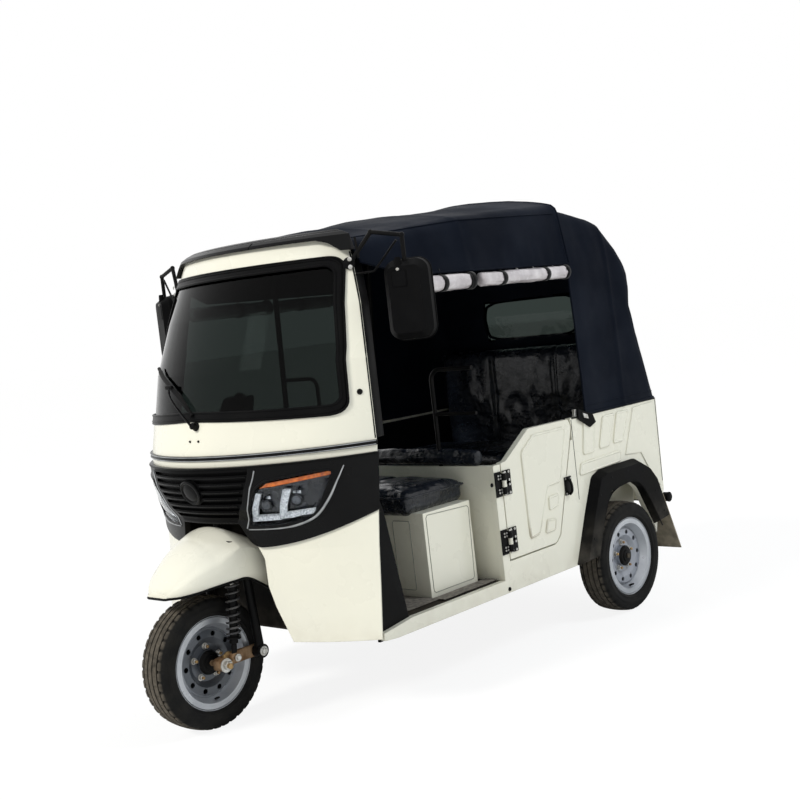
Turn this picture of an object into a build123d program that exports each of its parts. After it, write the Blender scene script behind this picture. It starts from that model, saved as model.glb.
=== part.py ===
"""Three-wheeled passenger auto rickshaw with a moulded cab, doors, and a canvas roof and hood.

The vehicle faces -Y, +X is its left side, and Z is height above the ground.  Every station
is measured from the front axle, so the three datum planes below start there.
"""

import os
from math import asin, cos, radians, sin, tan

from build123d import *

os.makedirs("parts", exist_ok=True)

# Chassis and wheels, mm
FRONT_AXLE_Y = -1055.0  # front axle from the middle of the vehicle
WHEELBASE = 1910.0
REAR_TRACK = 1178.0
TYRE_RADIUS = 245.0
TYRE_WIDTH = 135.0
RIM_FLANGE_RADIUS = 167.5
RIM_BARREL_RADIUS = 152.0
RIM_WIDTH = 112.0
RIM_THICKNESS = 6.0
HUB_RADIUS = 46.0
AXLE_RADIUS = 11.0
RUNNING_CLEARANCE = 0.5

# Steering
RAKE_ANGLE = 15.0  # steering axis leans back from vertical
RAKE_GROUND_Y = -60.0  # where the steering axis meets the ground
FORK_HALF_SPREAD = 118.0
LEG_RADIUS = 17.0
LINK_PIVOT_Y = 172.0
HEAD_TUBE_LOW = 770.0
HEAD_TUBE_HIGH = 890.0
HEAD_TUBE_RADIUS = 27.0
STEM_RADIUS = 14.0
HANDLEBAR_HEIGHT = 1095.0
HANDLEBAR_RADIUS = 11.0
HANDLEBAR_HALF_SPAN = 270.0
HANDLEBAR_PULL_BACK = 150.0

# Body
BODY_HALF_WIDTH = 620.0
SIDE_PANEL = 25.0  # thickness of the side panels and doors
CAB_WALL = 18.0
BODY_BOTTOM = 285.0
FLOOR_TOP = 338.0
CAB_BOTTOM = 300.0
BELT_HEIGHT = 986.0
CAB_TOP = 1756.0
CANVAS_FRONT_Y = 512.0
VISOR_END_HEIGHT = 1690.0
BULKHEAD_Y = 1040.0
BULKHEAD_TOP = 800.0
BULKHEAD_THICKNESS = 22.0
QUARTER_TOP = 912.0
BODY_REAR_Y = 2290.0
DOOR_GAP = 6.0
CANVAS = 8.0  # thickness of roof and hood cloth
TUBE_RADIUS = 12.5

# Datum planes at the front axle: side elevation (y, z), plan (x, y) and front elevation (x, z)
SIDE = Plane(origin=(0, FRONT_AXLE_Y, 0), x_dir=(0, 1, 0), z_dir=(1, 0, 0))
PLAN = Plane(origin=(0, FRONT_AXLE_Y, 0), x_dir=(1, 0, 0), z_dir=(0, 0, 1))
FRONT = Plane(origin=(0, FRONT_AXLE_Y, 0), x_dir=(1, 0, 0), z_dir=(0, -1, 0))


def place(x, y, z):
    """A point given by its station behind the front axle."""
    return Vector(x, FRONT_AXLE_Y + y, z)


def face_of(plane, corners):
    """A flat face through the corners; a third value rounds its corner by that radius."""
    with BuildSketch(plane) as face:
        with BuildLine():
            Polyline(*[corner[:2] for corner in corners], close=True)
        make_face()
        for corner in corners:
            if len(corner) == 3:
                fillet(face.vertices().sort_by_distance(corner[:2])[0], corner[2])
    return face.sketch


def block(x_range, y_range, z_range):
    """A square block between two stations, cut from the plan."""
    with BuildSketch(PLAN.offset(z_range[0])) as plan:
        with Locations(((x_range[0] + x_range[1]) / 2, (y_range[0] + y_range[1]) / 2)):
            Rectangle(x_range[1] - x_range[0], y_range[1] - y_range[0])
    return plan.sketch, z_range[1] - z_range[0]


def rod(start, end, radius, bore=0.0):
    """A straight round bar or tube between two points."""
    axis = Vector(*end) - Vector(*start)
    with BuildSketch(Plane(origin=Vector(*start), z_dir=axis)) as section:
        Circle(radius)
        if bore:
            Circle(bore, mode=Mode.SUBTRACT)
    return section.sketch, axis.length


def tube_path(points, bend):
    """A tube's centre line: straight runs joined by tangent bends."""
    with BuildLine() as route:
        FilletPolyline(*points, radius=bend)
    return route.line


def sweep_tube(points, bend, radius):
    """A round bar swept along straight runs and bends, in the open part."""
    route = tube_path(points, bend)
    with BuildSketch(Plane(origin=route @ 0, z_dir=route % 0)) as section:
        Circle(radius)
    sweep(section.sketch, path=route)


def write(builder, name):
    """Label a finished sub-part and export it."""
    builder.part.label = name
    export_step(builder.part, f"parts/{name}.step")


# --------------------------------------------------------------------------------------
# Cab skin: one curved wall, from which shell, belt, mask, grille, lamps and windscreen
# are cut as neighbouring pieces
# --------------------------------------------------------------------------------------

# level height, apex station, rear half width, rear station
CAB_LOWER = (
    (CAB_BOTTOM, 135.0, 620.0, 322.0),
    (480.0, 130.0, 619.0, 345.0),
    (640.0, 124.0, 617.0, 364.0),
    (780.0, 100.0, 616.0, 385.0),
    (880.0, 52.0, 615.0, 398.0),
    (BELT_HEIGHT, 43.0, 615.0, 413.0),
)
CAB_UPPER = (
    (BELT_HEIGHT, 43.0, 615.0, 413.0),
    (1300.0, 115.0, 590.0, 440.0),
    (1500.0, 203.0, 555.0, 476.0),
    (1650.0, 280.0, 512.0, 503.0),
    (CAB_TOP, 336.0, 478.0, 522.0),
)
MASK = (
    (640.0, 112.0, 622.0, 364.0),
    (760.0, 92.0, 621.0, 382.0),
    (800.0, 64.0, 621.0, 387.0),
    (880.0, 34.0, 621.0, 398.0),
    (BELT_HEIGHT, 26.0, 621.0, 413.0),
)


def cab_section(row, inset, overrun):
    """One level of the cab: an arc through apex and rear edges, drawn inwards by inset."""
    height, apex, rear_x, rear_y = row
    rise = rear_y - apex
    radius = (rear_x**2 + rise**2) / (2 * rise)
    lean = asin(rear_x / radius)
    reach = radius - inset
    edge = (reach * sin(lean), apex + radius - reach * cos(lean))
    with BuildSketch(PLAN.offset(height)) as level:
        with BuildLine():
            ThreePointArc((-edge[0], edge[1]), (0, apex + inset), edge)
            if overrun:
                back = edge[1] + overrun
                Polyline(edge, (edge[0], back), (-edge[0], back), (-edge[0], edge[1]))
            else:
                Line(edge, (-edge[0], edge[1]))
        make_face()
    return level.sketch


def cab_solid(rows, inset=0.0, overrun=0.0):
    """The cab's volume through its levels; an inner volume runs out past its back."""
    with BuildPart() as volume:
        loft([cab_section(row, inset, overrun) for row in rows], ruled=True)
    return volume.part


def stretched(rows, low, high):
    """The same walls carried on below the first level and above the last."""
    first, second, last, before = rows[0], rows[1], rows[-1], rows[-2]
    below = [a + (a - b) * low / (second[0] - first[0]) for a, b in zip(first, second)]
    above = [a + (a - b) * high / (last[0] - before[0]) for a, b in zip(last, before)]
    return (tuple(below),) + tuple(rows) + (tuple(above),)


OVERRUN = 60.0
LOWER_OUTER = cab_solid(CAB_LOWER)
LOWER_INNER = cab_solid(stretched(CAB_LOWER, 20.0, 20.0), CAB_WALL, OVERRUN)
UPPER_OUTER = cab_solid(CAB_UPPER)
UPPER_INNER = cab_solid(stretched(CAB_UPPER, 20.0, 20.0), CAB_WALL, OVERRUN)
MASK_OUTER = cab_solid(MASK)

# Mask outline in front elevation; the left half
MASK_TOP = 962.0
MASK_CENTRE_BOTTOM = 744.0
with BuildSketch(FRONT) as mask_outline:
    with BuildLine():
        Line((0, MASK_TOP), (660, MASK_TOP))
        Line((660, MASK_TOP), (660, 782))
        ThreePointArc((660, 782), (452, 689), (250, 654))
        ThreePointArc((250, 654), (212, 662), (190, 684))
        Line((190, 684), (163, MASK_CENTRE_BOTTOM))
        Line((163, MASK_CENTRE_BOTTOM), (0, MASK_CENTRE_BOTTOM))
        Line((0, MASK_CENTRE_BOTTOM), (0, MASK_TOP))
    make_face()
    mirror(about=Plane.YZ)
GRILLE_OUTLINE = (
    (-158, 750, 6),
    (158, 750, 6),
    (222, 828),
    (262, 903),
    (280, 955, 8),
    (-280, 955, 8),
    (-262, 903),
    (-222, 828),
)
LAMP_OUTLINE = (
    (205, 735, 14),
    (300, 731),
    (432, 748, 26),
    (476, 795),
    (530, 922, 14),
    (463, 920),
    (330, 904),
    (292, 880, 20),
    (245, 813),
)
WHEEL_OPENING = (
    (-350, 240),
    (-308, 297),
    (-252, 430),
    (-231, 504),
    (-231, 610, 40),
    (-186, 706),
    (-170, 752),
    (170, 752),
    (186, 706),
    (231, 610, 40),
    (231, 504),
    (252, 430),
    (308, 297),
    (350, 240),
)
SKIN_DEPTH = 620.0  # how far the front elevation's cuts reach back

with BuildPart() as cab_lower:
    add(LOWER_OUTER)
    add(LOWER_INNER, mode=Mode.SUBTRACT)
    extrude(mask_outline.sketch, amount=-SKIN_DEPTH, mode=Mode.SUBTRACT)
    extrude(face_of(FRONT, WHEEL_OPENING), amount=-SKIN_DEPTH, mode=Mode.SUBTRACT)
write(cab_lower, "cab_lower")

with BuildPart() as lamp_cutter:
    extrude(face_of(FRONT, LAMP_OUTLINE), amount=-SKIN_DEPTH)
    mirror(about=Plane.YZ)

with BuildPart() as front_mask:
    add(MASK_OUTER)
    add(LOWER_INNER, mode=Mode.SUBTRACT)
    extrude(mask_outline.sketch, amount=-SKIN_DEPTH, mode=Mode.INTERSECT)
    extrude(face_of(FRONT, GRILLE_OUTLINE), amount=-SKIN_DEPTH, mode=Mode.SUBTRACT)
    add(lamp_cutter.part, mode=Mode.SUBTRACT)
write(front_mask, "front_mask")

GRILLE_BAR_PITCH = 27.0
GRILLE_SLOT = 13.0
GRILLE_DEPTH = 16.0
EMBLEM_RADIUS = 52.0
EMBLEM_HEIGHT = 872.0
with BuildPart() as grille_slots:
    for step in range(7):
        slot_z = 775.0 + step * GRILLE_BAR_PITCH
        with BuildSketch(FRONT) as slot:
            with Locations((0, slot_z)):
                Rectangle(600, GRILLE_SLOT)
        extrude(slot.sketch, amount=-SKIN_DEPTH)
    with BuildSketch(FRONT) as emblem_land:
        with Locations((0, EMBLEM_HEIGHT)):
            Circle(EMBLEM_RADIUS)
    extrude(emblem_land.sketch, amount=-SKIN_DEPTH, mode=Mode.SUBTRACT)
    add(cab_solid(MASK, GRILLE_DEPTH), mode=Mode.SUBTRACT)
with BuildPart() as grille:
    add(MASK_OUTER)
    add(LOWER_INNER, mode=Mode.SUBTRACT)
    extrude(face_of(FRONT, GRILLE_OUTLINE), amount=-SKIN_DEPTH, mode=Mode.INTERSECT)
    add(grille_slots.part, mode=Mode.SUBTRACT)
write(grille, "grille")

LENS_THICKNESS = 5.0
with BuildPart() as headlamp_lenses:
    add(MASK_OUTER)
    add(cab_solid(stretched(MASK, 30, 30), LENS_THICKNESS, OVERRUN), mode=Mode.SUBTRACT)
    add(lamp_cutter.part, mode=Mode.INTERSECT)
write(headlamp_lenses, "headlamp_lenses")

with BuildPart() as headlamp_housings:
    add(cab_solid(MASK, LENS_THICKNESS))
    add(LOWER_INNER, mode=Mode.SUBTRACT)
    add(lamp_cutter.part, mode=Mode.INTERSECT)
write(headlamp_housings, "headlamp_housings")

BELT_BAND = 18.0
BELT_PROUD = 5.0
with BuildPart() as belt_trim:
    add(cab_solid(stretched(CAB_LOWER, 20, 2 * BELT_BAND), -BELT_PROUD))
    add(cab_solid(stretched(CAB_LOWER, 20, 3 * BELT_BAND), CAB_WALL, OVERRUN), mode=Mode.SUBTRACT)
    band, band_height = block((-700, 700), (-50, 700), (BELT_HEIGHT, BELT_HEIGHT + BELT_BAND))
    extrude(band, amount=band_height, mode=Mode.INTERSECT)
write(belt_trim, "belt_trim")

GASKET_OUTLINE = (
    (-557, 1110, 45),
    (0, 1133),
    (557, 1110, 45),
    (538, 1343),
    (488, 1670, 60),
    (-488, 1670, 60),
    (-538, 1343),
)
GLASS_OUTLINE = (
    (-541, 1141, 34),
    (0, 1161),
    (541, 1141, 34),
    (521, 1343),
    (468, 1641, 48),
    (-468, 1641, 48),
    (-521, 1343),
)
GLASS_THICKNESS = 6.0
GLASS_SET_BACK = 4.0
GASKET_PROUD = 7.0
with BuildPart() as cab_upper:
    add(UPPER_OUTER)
    add(UPPER_INNER, mode=Mode.SUBTRACT)
    extrude(face_of(FRONT, GASKET_OUTLINE), amount=-SKIN_DEPTH, mode=Mode.SUBTRACT)
    low, low_height = block((-800, 800), (-100, 800), (BELT_HEIGHT - 5, BELT_HEIGHT + BELT_BAND))
    extrude(low, amount=low_height, mode=Mode.SUBTRACT)
    behind, height = block((-800, 800), (CANVAS_FRONT_Y, 900), (VISOR_END_HEIGHT, CAB_TOP + 10))
    extrude(behind, amount=height, mode=Mode.SUBTRACT)
write(cab_upper, "cab_upper")

with BuildPart() as windshield_gasket:
    add(cab_solid(CAB_UPPER, -GASKET_PROUD))
    add(UPPER_INNER, mode=Mode.SUBTRACT)
    extrude(face_of(FRONT, GASKET_OUTLINE), amount=-SKIN_DEPTH, mode=Mode.INTERSECT)
    extrude(face_of(FRONT, GLASS_OUTLINE), amount=-SKIN_DEPTH, mode=Mode.SUBTRACT)
write(windshield_gasket, "windshield_gasket")

with BuildPart() as windshield:
    add(cab_solid(CAB_UPPER, GLASS_SET_BACK))
    extrude(face_of(FRONT, GLASS_OUTLINE), amount=-SKIN_DEPTH, mode=Mode.INTERSECT)
    glass_inner = cab_solid(
        stretched(CAB_UPPER, 20, 20), GLASS_SET_BACK + GLASS_THICKNESS, OVERRUN
    )
    add(glass_inner, mode=Mode.SUBTRACT)
write(windshield, "windshield")

# --------------------------------------------------------------------------------------
# Chassis, axle and springs
# --------------------------------------------------------------------------------------

RAIL_X = 280.0
RAIL_WIDTH = 40.0
FLOOR_SHEET = 14.0
RAIL_TOP = FLOOR_TOP - FLOOR_SHEET
NECK_Y = 385.0
NECK_RADIUS = 22.0
RAIL_DEPTH = 50.0
RAIL_OUTLINE = (
    (360, RAIL_TOP - RAIL_DEPTH),
    (360, RAIL_TOP),
    (1545, RAIL_TOP),
    (1625, 410),
    (2268, 410),
    (2268, 360),
    (1650, 360),
    (1570, RAIL_TOP - RAIL_DEPTH),
)


def steering_y(height):
    """Station of the steering axis at a height."""
    return RAKE_GROUND_Y + height * tan(radians(RAKE_ANGLE))


def steering_point(height):
    """A point on the steering axis."""
    return place(0, steering_y(height), height)


with BuildPart() as chassis_frame:
    for side in (1, -1):
        rail = face_of(SIDE.offset(side * RAIL_X - RAIL_WIDTH / 2), RAIL_OUTLINE)
        extrude(rail, amount=RAIL_WIDTH)
    for cross_y, cross_top in ((380, RAIL_TOP), (1000, RAIL_TOP), (1490, RAIL_TOP), (2240, 410)):
        beam, height = block(
            (-RAIL_X, RAIL_X), (cross_y - 20, cross_y + 20), (cross_top - RAIL_DEPTH, cross_top)
        )
        extrude(beam, amount=height)
    for start, end in (
        (place(0, NECK_Y, RAIL_TOP - 30), place(0, 350, 790)),
        (place(0, 350, 790), steering_point(835)),
    ):
        section, length = rod(start, end, NECK_RADIUS)
        extrude(section, amount=length)
    with Locations(place(0, 350, 790)):
        Sphere(NECK_RADIUS)
    section, length = rod(
        steering_point(HEAD_TUBE_LOW), steering_point(HEAD_TUBE_HIGH), HEAD_TUBE_RADIUS
    )
    extrude(section, amount=length)
    bore, length = rod(
        steering_point(HEAD_TUBE_LOW - 20),
        steering_point(HEAD_TUBE_HIGH + 20),
        STEM_RADIUS + RUNNING_CLEARANCE,
    )
    extrude(bore, amount=length, mode=Mode.SUBTRACT)
write(chassis_frame, "chassis_frame")

AXLE_TUBE_RADIUS = 30.0
GEARBOX_RADIUS = 85.0
MOTOR_RADIUS = 62.0
BRAKE_DRUM_RADIUS = 88.0
WHEEL_Z = TYRE_RADIUS
WHEEL_X = REAR_TRACK / 2
with BuildPart() as rear_axle:
    for start, end, radius in (
        (place(-478, WHEELBASE, WHEEL_Z), place(478, WHEELBASE, WHEEL_Z), AXLE_TUBE_RADIUS),
        (place(-95, WHEELBASE, WHEEL_Z), place(95, WHEELBASE, WHEEL_Z), GEARBOX_RADIUS),
        (place(60, WHEELBASE, WHEEL_Z), place(60, WHEELBASE - 230, WHEEL_Z + 10), MOTOR_RADIUS),
    ):
        section, length = rod(start, end, radius)
        extrude(section, amount=length)
    for side in (1, -1):
        hub = rod(
            place(side * 470, WHEELBASE, WHEEL_Z),
            place(side * 535, WHEELBASE, WHEEL_Z),
            BRAKE_DRUM_RADIUS,
        )
        extrude(hub[0], amount=hub[1])
        spindle = rod(
            place(side * 530, WHEELBASE, WHEEL_Z), place(side * 640, WHEELBASE, WHEEL_Z), AXLE_RADIUS
        )
        extrude(spindle[0], amount=spindle[1])
write(rear_axle, "rear_axle")

SPRING_X = 380.0
LEAF_COUNT = 3
LEAF_HALF_LENGTH = 330.0
LEAF_STEP = 85.0
LEAF_CAMBER = 40.0
LEAF_LOW = 276.0
LEAF_PITCH = 8.0
LEAF_THICKNESS = 7.9
LEAF_WIDTH = 44.0
with BuildPart() as leaf_springs:
    for side in (1, -1):
        for leaf in range(LEAF_COUNT):
            half = LEAF_HALF_LENGTH - LEAF_STEP * leaf
            sag = LEAF_CAMBER * (half / LEAF_HALF_LENGTH) ** 2
            base = LEAF_LOW + LEAF_PITCH * (LEAF_COUNT - 1 - leaf)
            front, rear = WHEELBASE - half, WHEELBASE + half
            with BuildSketch(SIDE.offset(side * SPRING_X - LEAF_WIDTH / 2)) as strip:
                with BuildLine():
                    ThreePointArc((front, base + sag), (WHEELBASE, base), (rear, base + sag))
                    top = base + LEAF_THICKNESS
                    Line((rear, base + sag), (rear, top + sag))
                    ThreePointArc((rear, top + sag), (WHEELBASE, top), (front, top + sag))
                    Line((front, top + sag), (front, base + sag))
                make_face()
            extrude(strip.sketch, amount=LEAF_WIDTH)
write(leaf_springs, "leaf_springs")

# --------------------------------------------------------------------------------------
# Floor, wheel house, cab fittings
# --------------------------------------------------------------------------------------

HOUSE_HALF_WIDTH = 285.0
HOUSE_BACK_Y = 312.0
HOUSE_TOP = 752.0
SHEET = 5.0
FLOOR_REAR_Y = 1480.0
SILL_REAR_Y = 1560.0
with BuildPart() as floor_pan:
    pan, height = block((-590, 590), (345, FLOOR_REAR_Y), (FLOOR_TOP - FLOOR_SHEET, FLOOR_TOP))
    extrude(pan, amount=height)
    wall, height = block(
        (-HOUSE_HALF_WIDTH, HOUSE_HALF_WIDTH),
        (HOUSE_BACK_Y, HOUSE_BACK_Y + SHEET),
        (CAB_BOTTOM, HOUSE_TOP),
    )
    extrude(wall, amount=height)
    link, height = block(
        (-HOUSE_HALF_WIDTH, HOUSE_HALF_WIDTH),
        (HOUSE_BACK_Y, 350),
        (FLOOR_TOP - FLOOR_SHEET, FLOOR_TOP - FLOOR_SHEET + SHEET),
    )
    extrude(link, amount=height)
    roof, height = block(
        (-HOUSE_HALF_WIDTH, HOUSE_HALF_WIDTH),
        (120, HOUSE_BACK_Y + SHEET),
        (HOUSE_TOP - SHEET, HOUSE_TOP),
    )
    extrude(roof, amount=height)
    for side in (1, -1):
        inner = side * HOUSE_HALF_WIDTH
        outer = side * (HOUSE_HALF_WIDTH - SHEET)
        cheek, height = block(
            (min(inner, outer), max(inner, outer)), (190, HOUSE_BACK_Y + SHEET), (340, HOUSE_TOP)
        )
        extrude(cheek, amount=height)
    with BuildSketch(PLAN.offset(HOUSE_TOP - 2 * SHEET)) as stem_hole:
        with Locations((0, 137)):
            Circle(40)
    extrude(stem_hole.sketch, amount=4 * SHEET, mode=Mode.SUBTRACT)
    neck, length = rod(place(0, NECK_Y, RAIL_TOP - 30), place(0, 350, 790), NECK_RADIUS + 1)
    extrude(neck, amount=length, mode=Mode.SUBTRACT)
    add(cab_solid(stretched(CAB_LOWER, 60, 20), CAB_WALL, FLOOR_REAR_Y), mode=Mode.INTERSECT)
write(floor_pan, "floor_pan")

DASH_TOP = 985.0
DASH_THICKNESS = 18.0
DASH_REAR_Y = 330.0
with BuildPart() as dashboard:
    add(cab_solid(CAB_LOWER, CAB_WALL + 0.5, OVERRUN))
    shelf, height = block(
        (-700, 700), (-50, DASH_REAR_Y), (DASH_TOP - DASH_THICKNESS, DASH_TOP)
    )
    extrude(shelf, amount=height, mode=Mode.INTERSECT)
    with BuildSketch(PLAN.offset(DASH_TOP - 40)) as stem_slot:
        with Locations((0, 205)):
            Circle(42)
    extrude(stem_slot.sketch, amount=80, mode=Mode.SUBTRACT)
write(dashboard, "dashboard")

SILL_OUTLINE = (
    (330, BODY_BOTTOM + 6, 6),
    (330, 318),
    (490, FLOOR_TOP),
    (BULKHEAD_Y + 10, FLOOR_TOP),
    (BULKHEAD_Y + 10, BODY_BOTTOM),
    (400, BODY_BOTTOM),
)
LINER_OUTLINE = (
    (326, 286),
    (500, 286),
    (486, 345),
    (420, 740, 60),
    (400, 800),
    (392, 800),
)
LINER_THICKNESS = 12.0
with BuildPart() as cab_liners:
    extrude(face_of(SIDE.offset(BODY_HALF_WIDTH - 32), LINER_OUTLINE), amount=LINER_THICKNESS)
    mirror(about=Plane.YZ)
    pan, height = block((-590, 590), (345, FLOOR_REAR_Y), (BODY_BOTTOM - 30, FLOOR_TOP))
    extrude(pan, amount=height, mode=Mode.SUBTRACT)
    add(LOWER_OUTER, mode=Mode.SUBTRACT)
    for side in (1, -1):
        sill = face_of(SIDE.offset(side * (BODY_HALF_WIDTH - SIDE_PANEL)), SILL_OUTLINE)
        extrude(sill, amount=SIDE_PANEL, dir=(side, 0, 0), mode=Mode.SUBTRACT)
write(cab_liners, "cab_liners")

# --------------------------------------------------------------------------------------
# Side body: sills, pillars, quarter panels, doors
# --------------------------------------------------------------------------------------

WHEEL_ARCH = (
    (1608, 200),
    (1640, 290),
    (1722, 470, 40),
    (1786, 562, 40),
    (1980, 580, 50),
    (2056, 532, 60),
    (2180, 330),
    (2220, 200),
)
DOOR_OUTLINE = (
    (1090, 413),
    (1090, 803, 8),
    (1124, 806, 20),
    (1293, 913, 40),
    (1574, 911, 14),
    (1594, 877, 20),
    (1438, 440, 30),
    (1402, 413, 30),
)
SIDE_OUTLINE = (
    (BULKHEAD_Y, BODY_BOTTOM),
    (BULKHEAD_Y, BULKHEAD_TOP, 8),
    (1560, BULKHEAD_TOP),
    (1560, QUARTER_TOP),
    (2296, QUARTER_TOP, 14),
    (2292, 470, 50),
    (2230, 420),
    (2190, 285),
)
# rib outlines pressed outwards in the quarter panel
VERTICAL_RIBS = (
    (1666, 1743, 1693, 1770, 748),
    (1793, 1867, 1841, 1932, 755),
    (1907, 1978, 1954, 2044, 760),
)
RIB_TOP = 885.0
RIB_HEIGHT = 5.0
HORIZONTAL_RIB = ((1624, 663), (1642, 707), (1952, 714), (1944, 673))
REAR_RIB = ((1991, 690), (2087, 893), (2262, 900), (2262, 500), (2200, 560), (2120, 680))
INNER_X = BODY_HALF_WIDTH - SIDE_PANEL


def side_face(side, x, corners):
    """A flat face in side elevation on the left (1) or right (-1), x from the middle."""
    return face_of(SIDE.offset(side * x), corners)


side_panels = []
for name, side in (("left", 1), ("right", -1)):
    outward = (side, 0, 0)
    with BuildPart() as side_panel:
        extrude(side_face(side, INNER_X, SIDE_OUTLINE), amount=SIDE_PANEL, dir=outward)
        for low_front, low_rear, top_front, top_rear, low in VERTICAL_RIBS:
            rib = (
                (low_front, low, 12),
                (low_rear, low, 12),
                (top_rear, RIB_TOP, 12),
                (top_front, RIB_TOP, 12),
            )
            raised = side_face(side, BODY_HALF_WIDTH, rib)
            extrude(raised, amount=RIB_HEIGHT, dir=outward, taper=20)
        for rib in (HORIZONTAL_RIB, REAR_RIB):
            raised = side_face(side, BODY_HALF_WIDTH, rib)
            extrude(raised, amount=RIB_HEIGHT, dir=outward, taper=20)
        arch = side_face(side, INNER_X - 5, WHEEL_ARCH)
        extrude(arch, amount=SIDE_PANEL + 20, dir=outward, mode=Mode.SUBTRACT)
        with BuildSketch(SIDE.offset(side * (INNER_X - 5))) as door_hole:
            add(face_of(Plane.XY, DOOR_OUTLINE))
            offset(amount=DOOR_GAP)
            with Locations((1340, 900)):
                Rectangle(506, 160)
        extrude(door_hole.sketch, amount=SIDE_PANEL + 20, dir=outward, mode=Mode.SUBTRACT)
        extrude(side_face(side, INNER_X, SILL_OUTLINE), amount=SIDE_PANEL, dir=outward)
    side_panels.append(side_panel.part)
    write(side_panel, f"side_panel_{name}")

DOOR_EMBOSS = (
    (1229, 821, 8),
    (1317, 880, 20),
    (1543, 880, 14),
    (1472, 665, 14),
    (1380, 661, 14),
    (1293, 478, 14),
    (1233, 470, 8),
)
DOOR_SQUARES = (
    ((1385, 607), (1447, 610), (1440, 570), (1382, 560)),
    ((1359, 517), (1414, 512), (1401, 473), (1341, 471)),
)
HINGE_X = 632.0
HINGE_Y = 1087.0
HINGE_PIN_RADIUS = 4.0
HINGE_KNUCKLE_RADIUS = 9.0
HINGE_HEIGHTS = (448.0, 680.0)
HINGE_LENGTH = 84.0
LEAF = 5.0
for name, side in (("left", 1), ("right", -1)):
    outward = (side, 0, 0)
    with BuildPart() as door:
        extrude(side_face(side, INNER_X, DOOR_OUTLINE), amount=SIDE_PANEL, dir=outward)
        for raised in (DOOR_EMBOSS,) + DOOR_SQUARES:
            face = side_face(side, BODY_HALF_WIDTH, raised)
            extrude(face, amount=RIB_HEIGHT, dir=outward, taper=20)
        for low in HINGE_HEIGHTS:
            third = HINGE_LENGTH / 3
            leaf_x = sorted((side * BODY_HALF_WIDTH, side * (BODY_HALF_WIDTH + LEAF)))
            leaf, height = block(leaf_x, (HINGE_Y + 3, 1142), (low + third, low + 2 * third))
            extrude(leaf, amount=height)
            with BuildSketch(PLAN.offset(low + third + 1)) as knuckle:
                with Locations((side * HINGE_X, HINGE_Y)):
                    Circle(HINGE_KNUCKLE_RADIUS)
            extrude(knuckle.sketch, amount=third - 2)
            with BuildSketch(PLAN.offset(low)) as bore:
                with Locations((side * HINGE_X, HINGE_Y)):
                    Circle(HINGE_PIN_RADIUS + RUNNING_CLEARANCE)
            extrude(bore.sketch, amount=HINGE_LENGTH, mode=Mode.SUBTRACT)
    write(door, f"door_{name}")

with BuildPart() as door_hinges:
    for side in (1, -1):
        for low in HINGE_HEIGHTS:
            third = HINGE_LENGTH / 3
            for start in (low, low + 2 * third):
                leaf_x = sorted((side * BODY_HALF_WIDTH, side * (BODY_HALF_WIDTH + LEAF)))
                leaf, height = block(leaf_x, (1052, HINGE_Y - 3), (start, start + third))
                extrude(leaf, amount=height)
                with BuildSketch(PLAN.offset(start)) as knuckle:
                    with Locations((side * HINGE_X, HINGE_Y)):
                        Circle(HINGE_KNUCKLE_RADIUS)
                extrude(knuckle.sketch, amount=third)
            with BuildSketch(PLAN.offset(low)) as pin:
                with Locations((side * HINGE_X, HINGE_Y)):
                    Circle(HINGE_PIN_RADIUS)
            extrude(pin.sketch, amount=HINGE_LENGTH)
write(door_hinges, "door_hinges")

# --------------------------------------------------------------------------------------
# Cabin: bulkhead, seats, guard frame
# --------------------------------------------------------------------------------------

with BuildPart() as bulkhead:
    wall, height = block(
        (-INNER_X, INNER_X),
        (BULKHEAD_Y, BULKHEAD_Y + BULKHEAD_THICKNESS),
        (FLOOR_TOP, BULKHEAD_TOP),
    )
    extrude(wall, amount=height)
write(bulkhead, "bulkhead")

POST_X = 572.0
MID_POST_Y = BULKHEAD_Y + BULKHEAD_THICKNESS / 2
GUARD_TOP = 1195.0
FRAME_X = 540.0
MID_BOW_HEIGHT = 1744.0
RAIL_JOINT_Y = 1050.0
REAR_POST_X = 606.0
REAR_BOW_Y = 1680.0
REAR_BOW_HEIGHT = 1774.0
with BuildPart() as canopy_frame:
    for side in (1, -1):
        nodes = (
            (place(side * 592, 436, 1022), place(side * 486, 532, 1690)),
            (place(side * 486, 532, 1690), place(side * FRAME_X, RAIL_JOINT_Y, MID_BOW_HEIGHT)),
            (
                place(side * FRAME_X, RAIL_JOINT_Y, MID_BOW_HEIGHT),
                place(side * FRAME_X, REAR_BOW_Y + 10, REAR_BOW_HEIGHT),
            ),
            (
                place(side * POST_X, MID_POST_Y, BULKHEAD_TOP - 2),
                place(side * FRAME_X, MID_POST_Y, MID_BOW_HEIGHT),
            ),
            (
                place(side * REAR_POST_X, REAR_BOW_Y, QUARTER_TOP - 2),
                place(side * FRAME_X, REAR_BOW_Y, REAR_BOW_HEIGHT),
            ),
        )
        for start, end in nodes:
            section, length = rod(start, end, TUBE_RADIUS)
            extrude(section, amount=length)
    for bow_y, bow_z, bow_x in (
        (532, 1690, 486),
        (MID_POST_Y, MID_BOW_HEIGHT, FRAME_X),
        (REAR_BOW_Y, REAR_BOW_HEIGHT, FRAME_X),
    ):
        section, length = rod(place(-bow_x, bow_y, bow_z), place(bow_x, bow_y, bow_z), TUBE_RADIUS)
        extrude(section, amount=length)
    add([bulkhead.part] + side_panels, mode=Mode.SUBTRACT)
write(canopy_frame, "canopy_frame")

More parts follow.
